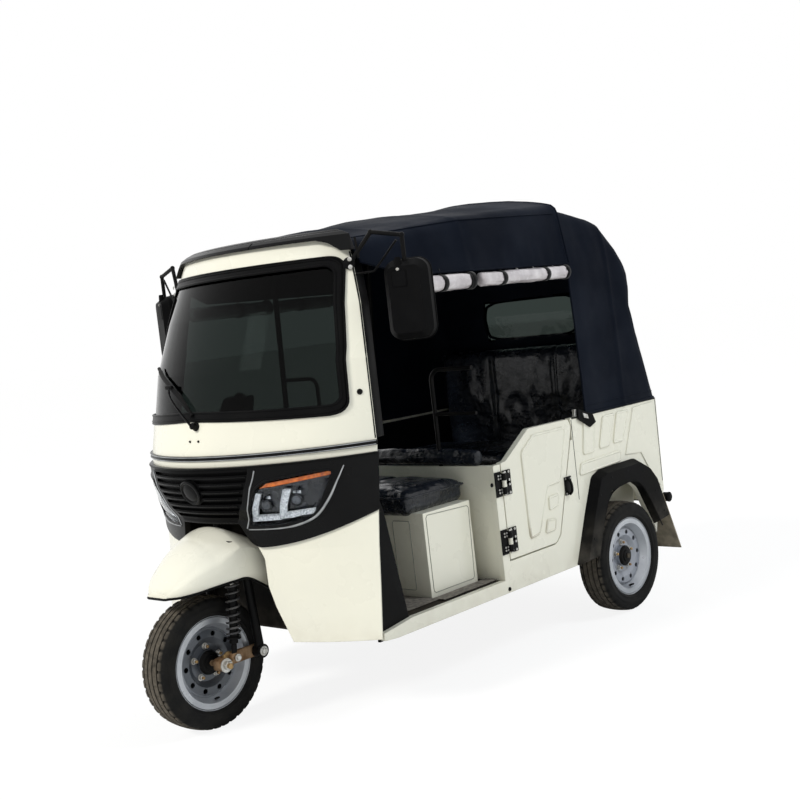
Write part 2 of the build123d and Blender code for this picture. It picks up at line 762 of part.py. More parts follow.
SEAT_BOX_TOP = 672.0
SEAT_BOX_FRONT_Y = 710.0
SEAT_BOX_REAR_Y = 990.0
SEAT_BOX_HALF_WIDTH = 520.0
with BuildPart() as driver_seat_box:
    box, height = block(
        (-SEAT_BOX_HALF_WIDTH, SEAT_BOX_HALF_WIDTH),
        (SEAT_BOX_FRONT_Y, SEAT_BOX_REAR_Y),
        (FLOOR_TOP, SEAT_BOX_TOP),
    )
    extrude(box, amount=height)
    inner, height = block(
        (-SEAT_BOX_HALF_WIDTH + SHEET, SEAT_BOX_HALF_WIDTH - SHEET),
        (SEAT_BOX_FRONT_Y + SHEET, SEAT_BOX_REAR_Y - SHEET),
        (FLOOR_TOP - 1, SEAT_BOX_TOP - SHEET),
    )
    extrude(inner, amount=height, mode=Mode.SUBTRACT)
write(driver_seat_box, "driver_seat_box")

with BuildPart() as driver_seat_cushion:
    pad, height = block((-500, 500), (650, 1030), (SEAT_BOX_TOP, 760))
    extrude(pad, amount=height)
    fillet(driver_seat_cushion.edges().filter_by(Axis.Z), 40)
    fillet(driver_seat_cushion.edges().group_by(Axis.Z)[-1], 25)
    fillet(driver_seat_cushion.edges().group_by(Axis.Z)[0], 15)
write(driver_seat_cushion, "driver_seat_cushion")

GUARD_X = 340.0
GUARD_RADIUS = 9.0
with BuildPart() as driver_backrest:
    roll, height = block((-555, 555), (1026, 1084), (BULKHEAD_TOP, 874))
    extrude(roll, amount=height)
    fillet(driver_backrest.edges().filter_by(Axis.X), 24)
    for side in (1, -1):
        foot = place(side * GUARD_X, MID_POST_Y, BULKHEAD_TOP)
        socket, length = rod(foot, foot + Vector(0, 0, 100), GUARD_RADIUS + 0.5)
        extrude(socket, amount=length, mode=Mode.SUBTRACT)
write(driver_backrest, "driver_backrest")

with BuildPart() as partition_rail:
    for side in (1, -1):
        loop = (
            place(side * (POST_X - 14), MID_POST_Y, GUARD_TOP),
            place(side * GUARD_X, MID_POST_Y, GUARD_TOP),
            place(side * GUARD_X, MID_POST_Y, BULKHEAD_TOP),
        )
        sweep_tube(loop, 45.0, GUARD_RADIUS)
        for start, end in (
            (place(side * (POST_X - 14), MID_POST_Y, 1013), place(side * GUARD_X, MID_POST_Y, 1013)),
        ):
            section, length = rod(start, end, 7.0)
            extrude(section, amount=length)
    add(canopy_frame.part, mode=Mode.SUBTRACT)
write(partition_rail, "partition_rail")

SEAT_BASE_FRONT_Y = 1610.0
SEAT_BASE_REAR_Y = 2230.0
SEAT_BASE_TOP = 620.0
SEAT_BASE_HALF_WIDTH = 488.0
with BuildPart() as passenger_seat_base:
    box, height = block(
        (-SEAT_BASE_HALF_WIDTH, SEAT_BASE_HALF_WIDTH),
        (SEAT_BASE_FRONT_Y, SEAT_BASE_REAR_Y),
        (FLOOR_TOP, SEAT_BASE_TOP),
    )
    extrude(box, amount=height)
    inner, height = block(
        (-SEAT_BASE_HALF_WIDTH + SHEET, SEAT_BASE_HALF_WIDTH - SHEET),
        (SEAT_BASE_FRONT_Y + SHEET, SEAT_BASE_REAR_Y - SHEET),
        (FLOOR_TOP - 1, SEAT_BASE_TOP - SHEET),
    )
    extrude(inner, amount=height, mode=Mode.SUBTRACT)
    for side in (1, -1):
        shelf_x = sorted((side * SEAT_BASE_HALF_WIDTH, side * INNER_X))
        shelf, height = block(
            shelf_x,
            (SEAT_BASE_FRONT_Y, SEAT_BASE_REAR_Y),
            (SEAT_BASE_TOP - SHEET, SEAT_BASE_TOP),
        )
        extrude(shelf, amount=height)
        front, height = block(
            shelf_x,
            (SEAT_BASE_FRONT_Y, SEAT_BASE_FRONT_Y + SHEET),
            (FLOOR_TOP, SEAT_BASE_TOP),
        )
        extrude(front, amount=height)
    add(chassis_frame.part, mode=Mode.SUBTRACT)
write(passenger_seat_base, "passenger_seat_base")

with BuildPart() as passenger_cushion:
    pad, height = block((-575, 575), (1615, 2110), (SEAT_BASE_TOP, 750))
    extrude(pad, amount=height)
    fillet(passenger_cushion.edges().filter_by(Axis.Z), 35)
    fillet(passenger_cushion.edges().group_by(Axis.Z)[-1], 30)
write(passenger_cushion, "passenger_cushion")

with BuildPart() as passenger_backrest:
    profile = (
        (2116, SEAT_BASE_TOP),
        (2226, SEAT_BASE_TOP),
        (2226, 1160, 30),
        (2200, 1225, 25),
        (2150, 1225, 25),
    )
    extrude(face_of(SIDE.offset(-555), profile), amount=1110)
write(passenger_backrest, "passenger_backrest")

with BuildPart() as battery_pack:
    cells, height = block((-300, 300), (1680, 2140), (412, 590))
    extrude(cells, amount=height)
write(battery_pack, "battery_pack")

# --------------------------------------------------------------------------------------
# Wheels
# --------------------------------------------------------------------------------------

TYRE_HALF = TYRE_WIDTH / 2
BEAD_HALF = RIM_WIDTH / 2 - RIM_THICKNESS
wheels = (
    ("front", 0.0, 0.0),
    ("rear_left", WHEEL_X, WHEELBASE),
    ("rear_right", -WHEEL_X, WHEELBASE),
)
for name, x, y in wheels:
    # wheel section drawn with the radius upwards and turned about the wheel's own axis
    section_plane = Plane(origin=place(x, y, WHEEL_Z), x_dir=(1, 0, 0), z_dir=(0, -1, 0))
    axle_line = Axis(origin=place(x, y, WHEEL_Z), direction=(1, 0, 0))
    out = -1.0 if x < 0 else 1.0
    with BuildPart() as tyre:
        with BuildSketch(section_plane) as profile:
            with BuildLine():
                Polyline(
                    (0, TYRE_RADIUS),
                    (TYRE_HALF - 18, TYRE_RADIUS - 3),
                    (TYRE_HALF - 4, TYRE_RADIUS - 17),
                    (TYRE_HALF, TYRE_RADIUS - 42),
                    (BEAD_HALF, RIM_FLANGE_RADIUS + 1),
                    (BEAD_HALF, RIM_BARREL_RADIUS + 0.3),
                    (-BEAD_HALF, RIM_BARREL_RADIUS + 0.3),
                    (-BEAD_HALF, RIM_FLANGE_RADIUS + 1),
                    (-TYRE_HALF, TYRE_RADIUS - 42),
                    (-TYRE_HALF + 4, TYRE_RADIUS - 17),
                    (-TYRE_HALF + 18, TYRE_RADIUS - 3),
                    close=True,
                )
            make_face()
        revolve(profile.sketch, axis=axle_line)
    write(tyre, f"{name}_tyre")
    with BuildPart() as rim:
        disc_x = out * 8.0
        with BuildSketch(section_plane) as profile:
            with BuildLine():
                Polyline(
                    (-RIM_WIDTH / 2, RIM_FLANGE_RADIUS),
                    (-BEAD_HALF, RIM_FLANGE_RADIUS),
                    (-BEAD_HALF, RIM_BARREL_RADIUS),
                    (-20, RIM_BARREL_RADIUS - 16),
                    (20, RIM_BARREL_RADIUS - 16),
                    (BEAD_HALF, RIM_BARREL_RADIUS),
                    (BEAD_HALF, RIM_FLANGE_RADIUS),
                    (RIM_WIDTH / 2, RIM_FLANGE_RADIUS),
                    (RIM_WIDTH / 2, RIM_BARREL_RADIUS - RIM_THICKNESS),
                    (22, RIM_BARREL_RADIUS - 16 - RIM_THICKNESS),
                    (-22, RIM_BARREL_RADIUS - 16 - RIM_THICKNESS),
                    (-RIM_WIDTH / 2, RIM_BARREL_RADIUS - RIM_THICKNESS),
                    close=True,
                )
            make_face()
            with BuildLine():
                Polyline(
                    (disc_x - 3, RIM_BARREL_RADIUS - 18),
                    (disc_x + out * 16 - 3, 120),
                    (disc_x + out * 16 - 3, 92),
                    (disc_x - 3, 70),
                    (disc_x - 3, HUB_RADIUS - 4),
                    (disc_x + 3, HUB_RADIUS - 4),
                    (disc_x + 3, 70),
                    (disc_x + out * 16 + 3, 92),
                    (disc_x + out * 16 + 3, 120),
                    (disc_x + 3, RIM_BARREL_RADIUS - 18),
                    close=True,
                )
            make_face()
        revolve(profile.sketch, axis=axle_line)
        hub = rod(place(x - 26, y, WHEEL_Z), place(x + 26, y, WHEEL_Z), HUB_RADIUS)
        extrude(hub[0], amount=hub[1])
        bore = rod(
            place(x - 60, y, WHEEL_Z), place(x + 60, y, WHEEL_Z), AXLE_RADIUS + RUNNING_CLEARANCE
        )
        extrude(bore[0], amount=bore[1], mode=Mode.SUBTRACT)
        with BuildSketch(Plane(origin=place(x, y, WHEEL_Z), x_dir=(0, 1, 0), z_dir=(1, 0, 0))) as vents:
            with PolarLocations(106, 10):
                Circle(10)
        extrude(vents.sketch, amount=60, both=True, mode=Mode.SUBTRACT)
    write(rim, f"{name}_rim")

# --------------------------------------------------------------------------------------
# Steering: fork, links, shocks, mudguard, handlebar; all turn about the raked axis
# --------------------------------------------------------------------------------------

CROWN_HEIGHT = 650.0
CROWN_THICKNESS = 26.0
rake = radians(RAKE_ANGLE)
crown_base = steering_point(CROWN_HEIGHT)
crown_plane = Plane(
    origin=crown_base, x_dir=(1, 0, 0), z_dir=(0, sin(rake), cos(rake))
)
with BuildPart() as steering_fork:
    with BuildSketch(crown_plane) as crown:
        RectangleRounded(2 * FORK_HALF_SPREAD + 50, 112, 20)
    extrude(crown.sketch, amount=CROWN_THICKNESS)
    stem = rod(steering_point(CROWN_HEIGHT + 5), steering_point(HANDLEBAR_HEIGHT), STEM_RADIUS)
    extrude(stem[0], amount=stem[1])
    for side in (1, -1):
        pivot = place(side * FORK_HALF_SPREAD, LINK_PIVOT_Y, WHEEL_Z + 6)
        top = place(side * FORK_HALF_SPREAD, steering_y(CROWN_HEIGHT) + 26, CROWN_HEIGHT + 6)
        leg = rod(pivot, top, LEG_RADIUS)
        extrude(leg[0], amount=leg[1])
        eye = rod(
            place(side * (FORK_HALF_SPREAD - 18), LINK_PIVOT_Y, WHEEL_Z + 6),
            place(side * (FORK_HALF_SPREAD + 18), LINK_PIVOT_Y, WHEEL_Z + 6),
            26.0,
        )
        extrude(eye[0], amount=eye[1])
write(steering_fork, "steering_fork")

LINK_INNER_X = 82.0
LINK_THICKNESS = 14.0
LINK_OUTLINE = (
    (-24, WHEEL_Z - 22, 12),
    (-24, WHEEL_Z + 22, 12),
    (46, WHEEL_Z + 30, 10),
    (LINK_PIVOT_Y + 22, WHEEL_Z + 28, 12),
    (LINK_PIVOT_Y + 22, WHEEL_Z - 16, 12),
    (46, WHEEL_Z - 16, 10),
)
SHOCK_Y = 48.0
SHOCK_X = FORK_HALF_SPREAD
SHOCK_LOW = WHEEL_Z + 16
SHOCK_TOP_Y = 92.0
with BuildPart() as link_arms:
    for side in (1, -1):
        link = face_of(SIDE.offset(side * LINK_INNER_X), LINK_OUTLINE)
        extrude(link, amount=LINK_THICKNESS, dir=(side, 0, 0))
        pin = rod(
            place(side * (LINK_INNER_X + LINK_THICKNESS - 1), SHOCK_Y, SHOCK_LOW),
            place(side * (SHOCK_X + 22), SHOCK_Y, SHOCK_LOW),
            7.0,
        )
        extrude(pin[0], amount=pin[1])
    axle = rod(place(-142, 0, WHEEL_Z), place(142, 0, WHEEL_Z), AXLE_RADIUS)
    extrude(axle[0], amount=axle[1])
    for side in (1, -1):
        nut_x = sorted((side * 96, side * 128))
        nut = rod(place(nut_x[0], 0, WHEEL_Z), place(nut_x[1], 0, WHEEL_Z), 24.0)
        extrude(nut[0], amount=nut[1])
write(link_arms, "link_arms")

SPRING_RADIUS = 27.0
SHOCK_SPRING_LOW = 66.0
with BuildPart() as front_shocks:
    for side in (1, -1):
        foot = Vector(*place(side * SHOCK_X, SHOCK_Y, SHOCK_LOW))
        head = Vector(*place(side * SHOCK_X, SHOCK_TOP_Y, CROWN_HEIGHT - 12))
        travel = (head - foot).normalized()
        eye = rod(foot - Vector(13, 0, 0), foot + Vector(13, 0, 0), 16.0)
        extrude(eye[0], amount=eye[1])
        damper = rod(foot + travel * 8, head, 13.0)
        extrude(damper[0], amount=damper[1])
        coil = rod(foot + travel * SHOCK_SPRING_LOW, head - travel * 50, SPRING_RADIUS)
        extrude(coil[0], amount=coil[1])
        pin = rod(
            place(side * (LINK_INNER_X + LINK_THICKNESS - 1), SHOCK_Y, SHOCK_LOW),
            place(side * (SHOCK_X + 30), SHOCK_Y, SHOCK_LOW),
            7.3,
        )
        extrude(pin[0], amount=pin[1], mode=Mode.SUBTRACT)
    add(steering_fork.part, mode=Mode.SUBTRACT)
write(front_shocks, "front_shocks")

# station, half width, hem, shoulder height, crown
MUDGUARD = (
    (-164.0, 56.0, 526.0, 538.0, 552.0),
    (-140.0, 90.0, 527.0, 556.0, 586.0),
    (-90.0, 126.0, 533.0, 588.0, 641.0),
    (-20.0, 156.0, 543.0, 614.0, 691.0),
    (50.0, 176.0, 549.0, 628.0, 714.0),
    (105.0, 184.0, 547.0, 628.0, 716.0),
    (192.0, 187.0, 492.0, 604.0, 678.0),
)
MUDGUARD_WALL = 7.0


def mudguard_section(row, inset):
    """One cross-section of the mudguard, drawn inwards by inset and open below."""
    station, half, hem, shoulder, crown_z = row
    half = half - inset
    base = hem - 2 * inset
    with BuildSketch(FRONT.offset(-station)) as cut:
        with BuildLine():
            Line((-half, base), (half, base))
            Line((half, base), (half * 0.97, shoulder - inset))
            ThreePointArc(
                (half * 0.97, shoulder - inset), (0, crown_z - inset), (-half * 0.97, shoulder - inset)
            )
            Line((-half * 0.97, shoulder - inset), (-half, base))
        make_face()
    return cut.sketch


with BuildPart() as mudguard_inner:
    rows = [mudguard_section(row, MUDGUARD_WALL) for row in MUDGUARD]
    last = MUDGUARD[-1]
    tail = tuple(a + (a - b) * 0.2 for a, b in zip(last, MUDGUARD[-2]))
    rows = rows[1:] + [mudguard_section(tail, MUDGUARD_WALL)]
    loft(rows, ruled=True)
with BuildPart() as front_mudguard:
    loft([mudguard_section(row, 0.0) for row in MUDGUARD], ruled=True)
    add(mudguard_inner.part, mode=Mode.SUBTRACT)
    with BuildSketch(crown_plane) as seat:
        RectangleRounded(2 * FORK_HALF_SPREAD + 52, 114, 21)
    extrude(seat.sketch, amount=CROWN_THICKNESS + 0.5, mode=Mode.SUBTRACT)
    hole = rod(steering_point(CROWN_HEIGHT), steering_point(800), STEM_RADIUS + 0.5)
    extrude(hole[0], amount=hole[1], mode=Mode.SUBTRACT)
    post = rod(
        steering_point(CROWN_HEIGHT + CROWN_THICKNESS + 0.5),
        steering_point(712),
        34.0,
        STEM_RADIUS + 0.5,
    )
    extrude(post[0], amount=post[1])
write(front_mudguard, "front_mudguard")

GRIP_RADIUS = 16.0
bar_y = steering_y(HANDLEBAR_HEIGHT)
with BuildPart() as handlebar:
    route = (
        place(-HANDLEBAR_HALF_SPAN, bar_y + HANDLEBAR_PULL_BACK, HANDLEBAR_HEIGHT + 14),
        place(-150, bar_y + 70, HANDLEBAR_HEIGHT + 24),
        place(-70, bar_y + 14, HANDLEBAR_HEIGHT + 16),
        place(70, bar_y + 14, HANDLEBAR_HEIGHT + 16),
        place(150, bar_y + 70, HANDLEBAR_HEIGHT + 24),
        place(HANDLEBAR_HALF_SPAN, bar_y + HANDLEBAR_PULL_BACK, HANDLEBAR_HEIGHT + 14),
    )
    sweep_tube(route, 60.0, HANDLEBAR_RADIUS)
    clamp, height = block(
        (-32, 32), (bar_y - 18, bar_y + 34), (HANDLEBAR_HEIGHT + 1, HANDLEBAR_HEIGHT + 34)
    )
    extrude(clamp, amount=height)
    for side in (1, -1):
        bend = place(side * 150, bar_y + 70, HANDLEBAR_HEIGHT + 24)
        outer = place(
            side * HANDLEBAR_HALF_SPAN, bar_y + HANDLEBAR_PULL_BACK, HANDLEBAR_HEIGHT + 14
        )
        inner = outer + (bend - outer) * 0.75
        grip = rod(inner, outer, GRIP_RADIUS)
        extrude(grip[0], amount=grip[1])
    pod = face_of(
        SIDE.offset(-62),
        (
            (bar_y + 20, HANDLEBAR_HEIGHT + 34, 6),
            (bar_y + 92, HANDLEBAR_HEIGHT + 34, 10),
            (bar_y + 112, HANDLEBAR_HEIGHT + 104, 12),
            (bar_y + 60, HANDLEBAR_HEIGHT + 96, 20),
        ),
    )
    extrude(pod, amount=124)
    add(steering_fork.part, mode=Mode.SUBTRACT)
write(handlebar, "handlebar")

# --------------------------------------------------------------------------------------
# Outside body pieces: flares, flaps, bumper, rear panel and lamps
# --------------------------------------------------------------------------------------

FLARE_OUTLINE = (
    (1535, BODY_BOTTOM, 6),
    (1632, 498, 60),
    (1704, 640, 40),
    (1768, 662, 40),
    (2052, 664, 60),
    (2132, 622, 60),
    (2190, 560, 60),
    (2275, 350, 10),
    (2190, 340),
    (1700, BODY_BOTTOM),
)
FLARE_PROUD = 44.0
with BuildPart() as fender_flares:
    for side in (1, -1):
        outward = (side, 0, 0)
        outer = side_face(side, BODY_HALF_WIDTH + RIB_HEIGHT, FLARE_OUTLINE)
        extrude(outer, amount=FLARE_PROUD - RIB_HEIGHT, dir=outward, taper=26)
        foot = side_face(side, BODY_HALF_WIDTH, FLARE_OUTLINE)
        extrude(foot, amount=RIB_HEIGHT, dir=outward)
        arch = side_face(side, BODY_HALF_WIDTH - 5, WHEEL_ARCH)
        extrude(arch, amount=FLARE_PROUD + 20, dir=outward, mode=Mode.SUBTRACT)
write(fender_flares, "fender_flares")

FLAP_PROFILE = ((2215, 470), (2222, 470), (2338, 190), (2331, 190))
FLAP_WIDTH = 128.0
FLAP_INNER_X = 528.0
with BuildPart() as mudflaps:
    for side in (1, -1):
        flap = side_face(side, FLAP_INNER_X, FLAP_PROFILE)
        extrude(flap, amount=FLAP_WIDTH, dir=(side, 0, 0))
    for side in (1, -1):
        bracket_x = sorted((side * FLAP_INNER_X, side * INNER_X))
        bracket, height = block(bracket_x, (2205, 2225), (462, 478))
        extrude(bracket, amount=height)
    add([fender_flares.part] + side_panels, mode=Mode.SUBTRACT)
write(mudflaps, "mudflaps")

REAR_PANEL_THICKNESS = 20.0
HATCH_FACE_Y = 2293.0
PLATE_HEIGHT = 680.0
PLATE_HOLE_SPACING = 140.0
PLATE_HOLE_RADIUS = 3.3
PLATE_HOLE_DEPTH = 14.0
with BuildPart() as rear_panel:
    wall, height = block(
        (-INNER_X, INNER_X), (2268, 2268 + REAR_PANEL_THICKNESS), (430, QUARTER_TOP)
    )
    extrude(wall, amount=height)
    hatch, height = block((-380, 380), (2288, 2293), (520, 840))
    extrude(hatch, amount=height)
    with BuildSketch(FRONT.offset(-HATCH_FACE_Y)) as plate_holes:
        with Locations((0, PLATE_HEIGHT)):
            with GridLocations(PLATE_HOLE_SPACING, 0, 2, 1):
                Circle(PLATE_HOLE_RADIUS)
    extrude(plate_holes.sketch, amount=PLATE_HOLE_DEPTH, mode=Mode.SUBTRACT)
write(rear_panel, "rear_panel")

with BuildPart() as tail_lamps:
    for side in (1, -1):
        with BuildSketch(FRONT.offset(-2288)) as lamp:
            with Locations((side * 500, 690)):
                RectangleRounded(90, 210, 18)
        extrude(lamp.sketch, amount=-26)
write(tail_lamps, "tail_lamps")

BUMPER_Y = 2362.0
BUMPER_Z = 427.0
BUMPER_RADIUS = 22.0
with BuildPart() as rear_bumper:
    bar = rod(place(-600, BUMPER_Y, BUMPER_Z), place(600, BUMPER_Y, BUMPER_Z), BUMPER_RADIUS)
    extrude(bar[0], amount=bar[1])
    for side in (1, -1):
        arm_x = (side * RAIL_X - 15, side * RAIL_X + 15)
        arm, height = block(arm_x, (2268, BUMPER_Y), (366, 404))
        extrude(arm, amount=height)
        upright, height = block(arm_x, (BUMPER_Y - 16, BUMPER_Y + 4), (366, BUMPER_Z))
        extrude(upright, amount=height)
write(rear_bumper, "rear_bumper")

TOW_EYE_RADIUS = 11.0
TOW_EYE_THICKNESS = 12.0
TOW_EYE_Y = 2355.0
TOW_EYE_Z = 300.0
with BuildPart() as tow_eye:
    lug = (
        (2240, 360),
        (2240, 330, 8),
        (2325, TOW_EYE_Z - 14, 20),
        (2340, TOW_EYE_Z - 26, 20),
        (2380, TOW_EYE_Z - 26, 24),
        (2380, TOW_EYE_Z + 26, 24),
        (2335, TOW_EYE_Z + 26, 20),
        (2262, 360),
    )
    extrude(face_of(SIDE.offset(-TOW_EYE_THICKNESS / 2), lug), amount=TOW_EYE_THICKNESS)
    eye = rod(
        place(-TOW_EYE_THICKNESS, TOW_EYE_Y, TOW_EYE_Z),
        place(TOW_EYE_THICKNESS, TOW_EYE_Y, TOW_EYE_Z),
        TOW_EYE_RADIUS,
    )
    extrude(eye[0], amount=eye[1], mode=Mode.SUBTRACT)
write(tow_eye, "tow_eye")

# --------------------------------------------------------------------------------------
# Canopy: visor, frame, canvas roof and hood, rolled curtains
# --------------------------------------------------------------------------------------

VISOR_TOP = 1774.0
VISOR_OUTLINE = (
    (-700, VISOR_END_HEIGHT),
    (-492, VISOR_END_HEIGHT, 10),
    (-448, 1722, 30),
    (-400, 1738, 40),
    (400, 1738, 40),
    (448, 1722, 30),
    (492, VISOR_END_HEIGHT, 10),
    (700, VISOR_END_HEIGHT),
    (700, 1900),
    (-700, 1900),
)
VISOR_LEVELS = (
    (1680.0, 272.0, 524.0, 490.0),
    (1750.0, 316.0, 500.0, 512.0),
    (VISOR_TOP - 12.0, 336.0, 486.0, 524.0),
    (VISOR_TOP, 372.0, 462.0, 530.0),
)
with BuildPart() as visor:
    loft([cab_section(row, 0.0, 60.0) for row in VISOR_LEVELS], ruled=True)
    add(cab_solid(stretched(CAB_UPPER, 20, 10), 0.0, 100.0), mode=Mode.SUBTRACT)
    extrude(face_of(FRONT, VISOR_OUTLINE), amount=-800, mode=Mode.INTERSECT)
    behind, height = block((-800, 800), (CANVAS_FRONT_Y, 900), (1500, 2000))
    extrude(behind, amount=height, mode=Mode.SUBTRACT)
write(visor, "visor")

# station, crown, shoulder x, shoulder height, hem x, hem height
ROOF = (
    (CANVAS_FRONT_Y + 0.5, 1776.0, 496.0, 1718.0, 540.0, 1640.0),
    (700.0, 1810.0, 548.0, 1742.0, 600.0, 1576.0),
    (1050.0, 1848.0, 562.0, 1786.0, 606.0, 1573.0),
    (1400.0, 1875.0, 565.0, 1809.0, 606.0, 1571.0),
    (1722.0, 1898.0, 566.0, 1824.0, 606.0, 1568.0),
)
ROOF_SHOULDER_RADIUS = 45.0
ROLLED_EDGE = 30.0
ROLLED_EDGE_WIDTH = 14.0


def roof_section(row, inset):
    """One bow of the roof: hems, shoulders and crown, drawn inwards by inset."""
    station, crown_z, shoulder_x, shoulder_z, hem_x, hem_z = row
    with BuildSketch(FRONT.offset(-station)) as bow:
        with BuildLine():
            Line((-hem_x + inset, hem_z - inset), (hem_x - inset, hem_z - inset))
            Line((hem_x - inset, hem_z - inset), (shoulder_x - inset, shoulder_z - inset))
            ThreePointArc(
                (shoulder_x - inset, shoulder_z - inset),
                (0, crown_z - inset),
                (-shoulder_x + inset, shoulder_z - inset),
            )
            Line((-shoulder_x + inset, shoulder_z - inset), (-hem_x + inset, hem_z - inset))
        make_face()
        for side in (1, -1):
            corner = (side * (shoulder_x - inset), shoulder_z - inset)
            fillet(bow.vertices().sort_by_distance(corner)[0], ROOF_SHOULDER_RADIUS - inset)
    return bow.sketch


def run_on(rows, distance):
    """The rows carried on by a distance beyond each end."""
    first, second, before, last = rows[0], rows[1], rows[-2], rows[-1]
    head = [a + (a - b) * distance / (second[0] - first[0]) for a, b in zip(first, second)]
    tail = [a + (a - b) * distance / (last[0] - before[0]) for a, b in zip(last, before)]
    return (tuple(head),) + tuple(rows) + (tuple(tail),)


with BuildPart() as canopy_roof:
    loft([roof_section(row, 0.0) for row in ROOF], ruled=True)
    loft([roof_section(row, CANVAS) for row in run_on(ROOF, 20.0)], ruled=True, mode=Mode.SUBTRACT)
    last_bow = ROOF[-1][0]
    rolled_edge = roof_section(ROOF[-1], CANVAS - 1.0) - roof_section(ROOF[-1], ROLLED_EDGE)
    extrude(rolled_edge, amount=ROLLED_EDGE_WIDTH)
write(canopy_roof, "canopy_roof")

HOOD_FRONT_Y = 1706.0
HOOD_WINDOW = (560.0, 200.0, 1345.0)  # width, height, height of its middle
HOOD_PROFILE = (
    (HOOD_FRONT_Y, QUARTER_TOP),
    (HOOD_FRONT_Y, 1872),
    (1760, 1868, 30),
    (2000, 1790, 200),
    (2062, 1750, 70),
    (2140, 1660, 60),
    (2222, 1560, 60),
    (2246, 1470, 50),
    (2216, 1357, 60),
    (2240, 1230, 120),
    (2322, QUARTER_TOP),
)
# station, shoulder height, crown; the arch sinks towards the back
HOOD_BOWS = (
    (HOOD_FRONT_Y - 60.0, 1824.0, 1880.0),
    (1810.0, 1796.0, 1850.0),
    (1910.0, 1776.0, 1824.0),
    (2060.0, 1760.0, 1796.0),
    (2500.0, 1730.0, 1760.0),
)


def hood_bow(row, inset):
    """The hood's arch at one station, drawn inwards by inset."""
    station, shoulder_z, crown_z = row
    arch = (
        (-624, 700),
        (624, 700),
        (618, 1320),
        (602, 1620, 160),
        (568, shoulder_z, 55),
        (0, crown_z, 900),
        (-568, shoulder_z, 55),
        (-602, 1620, 160),
        (-618, 1320),
    )
    with BuildSketch(FRONT.offset(-station)) as bow:
        add(face_of(Plane.XY, arch))
        if inset:
            offset(amount=-inset)
    return bow.sketch


with BuildPart() as hood_inner:
    loft([hood_bow(row, CANVAS) for row in HOOD_BOWS], ruled=True)
    with BuildSketch() as inner_profile:
        add(face_of(Plane.XY, HOOD_PROFILE))
        offset(amount=-CANVAS)
        with Locations((HOOD_FRONT_Y + 20, 1375)):
            Rectangle(80, 1005)
    extrude(SIDE.offset(-700) * inner_profile.sketch, amount=1400, mode=Mode.INTERSECT)
with BuildPart() as rear_hood:
    loft([hood_bow(row, 0.0) for row in HOOD_BOWS], ruled=True)
    extrude(face_of(SIDE.offset(-700), HOOD_PROFILE), amount=1400, mode=Mode.INTERSECT)
    add(hood_inner.part, mode=Mode.SUBTRACT)
    floor_cut, height = block(
        (-590, 590), (HOOD_FRONT_Y - 10, 2295), (QUARTER_TOP - 1, QUARTER_TOP + 40)
    )
    extrude(floor_cut, amount=height, mode=Mode.SUBTRACT)
    with BuildSketch(FRONT.offset(-2150)) as window_hole:
        with Locations((0, HOOD_WINDOW[2])):
            RectangleRounded(HOOD_WINDOW[0], HOOD_WINDOW[1], 30)
    extrude(window_hole.sketch, amount=-300, mode=Mode.SUBTRACT)
    add(canopy_roof.part, mode=Mode.SUBTRACT)
write(rear_hood, "rear_hood")


ROLL_X = 604.0
ROLL_Z = 1536.0
ROLLS = ((596.0, 1050.0, 34.0), (1100.0, 1690.0, 30.0))  # start, end, radius
with BuildPart() as curtain_rolls:
    for side in (1, -1):
        for start_y, end_y, radius in ROLLS:
            section, length = rod(
                place(side * ROLL_X, start_y, ROLL_Z), place(side * ROLL_X, end_y, ROLL_Z), radius
            )
            extrude(section, amount=length)
write(curtain_rolls, "curtain_rolls")

MIRROR_X = 712.0
MIRROR_Z = 1486.0
MIRROR_WIDTH = 172.0
MIRROR_HEIGHT = 290.0
MIRROR_DEPTH = 62.0
MIRROR_TURN = 24.0  # outward turn of the shell's back
MIRROR_FACE_INSET = 26.0
MIRROR_STEM_Y = 560.0
MIRROR_TUBE_RADIUS = 8.0
MIRROR_BALL_RADIUS = 10.0
with BuildPart() as mirrors:
    for side in (1, -1):
        turn = radians(MIRROR_TURN)
        rim = Plane(
            origin=place(side * MIRROR_X, MIRROR_STEM_Y, MIRROR_Z),
            x_dir=(cos(turn), side * sin(turn), 0),
            z_dir=(side * sin(turn), -cos(turn), 0),
        ).offset(-MIRROR_DEPTH / 2)
        for step, inset in ((0.0, 0.0), (0.5, 3.0), (1.0, MIRROR_FACE_INSET)):
            with BuildSketch(rim.offset(step * MIRROR_DEPTH)):
                RectangleRounded(
                    MIRROR_WIDTH - 2 * inset, MIRROR_HEIGHT - 2 * inset, 48 - inset
                )
        loft(ruled=True)
write(mirrors, "mirrors")

with BuildPart() as mirror_brackets:
    for side in (1, -1):
        foot = place(side * 514, 484, 1640)
        shoulder = place(side * 590, 530, 1742)
        drop = place(side * MIRROR_X, MIRROR_STEM_Y, 1716)
        stem = place(side * MIRROR_X, MIRROR_STEM_Y, MIRROR_Z + MIRROR_HEIGHT / 2 - 8)
        for start, end in ((foot, shoulder), (shoulder, drop), (drop, stem)):
            section, length = rod(start, end, MIRROR_TUBE_RADIUS)
            extrude(section, amount=length)
        with Locations(shoulder, drop):
            Sphere(MIRROR_BALL_RADIUS)
    add([cab_upper.part, mirrors.part], mode=Mode.SUBTRACT)
write(mirror_brackets, "mirror_brackets")
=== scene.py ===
"""Looks of the passenger auto rickshaw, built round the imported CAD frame. Metres; front is -Y and up is +Z."""

import math

import bmesh
import bpy
from mathutils import Matrix, Vector, noise


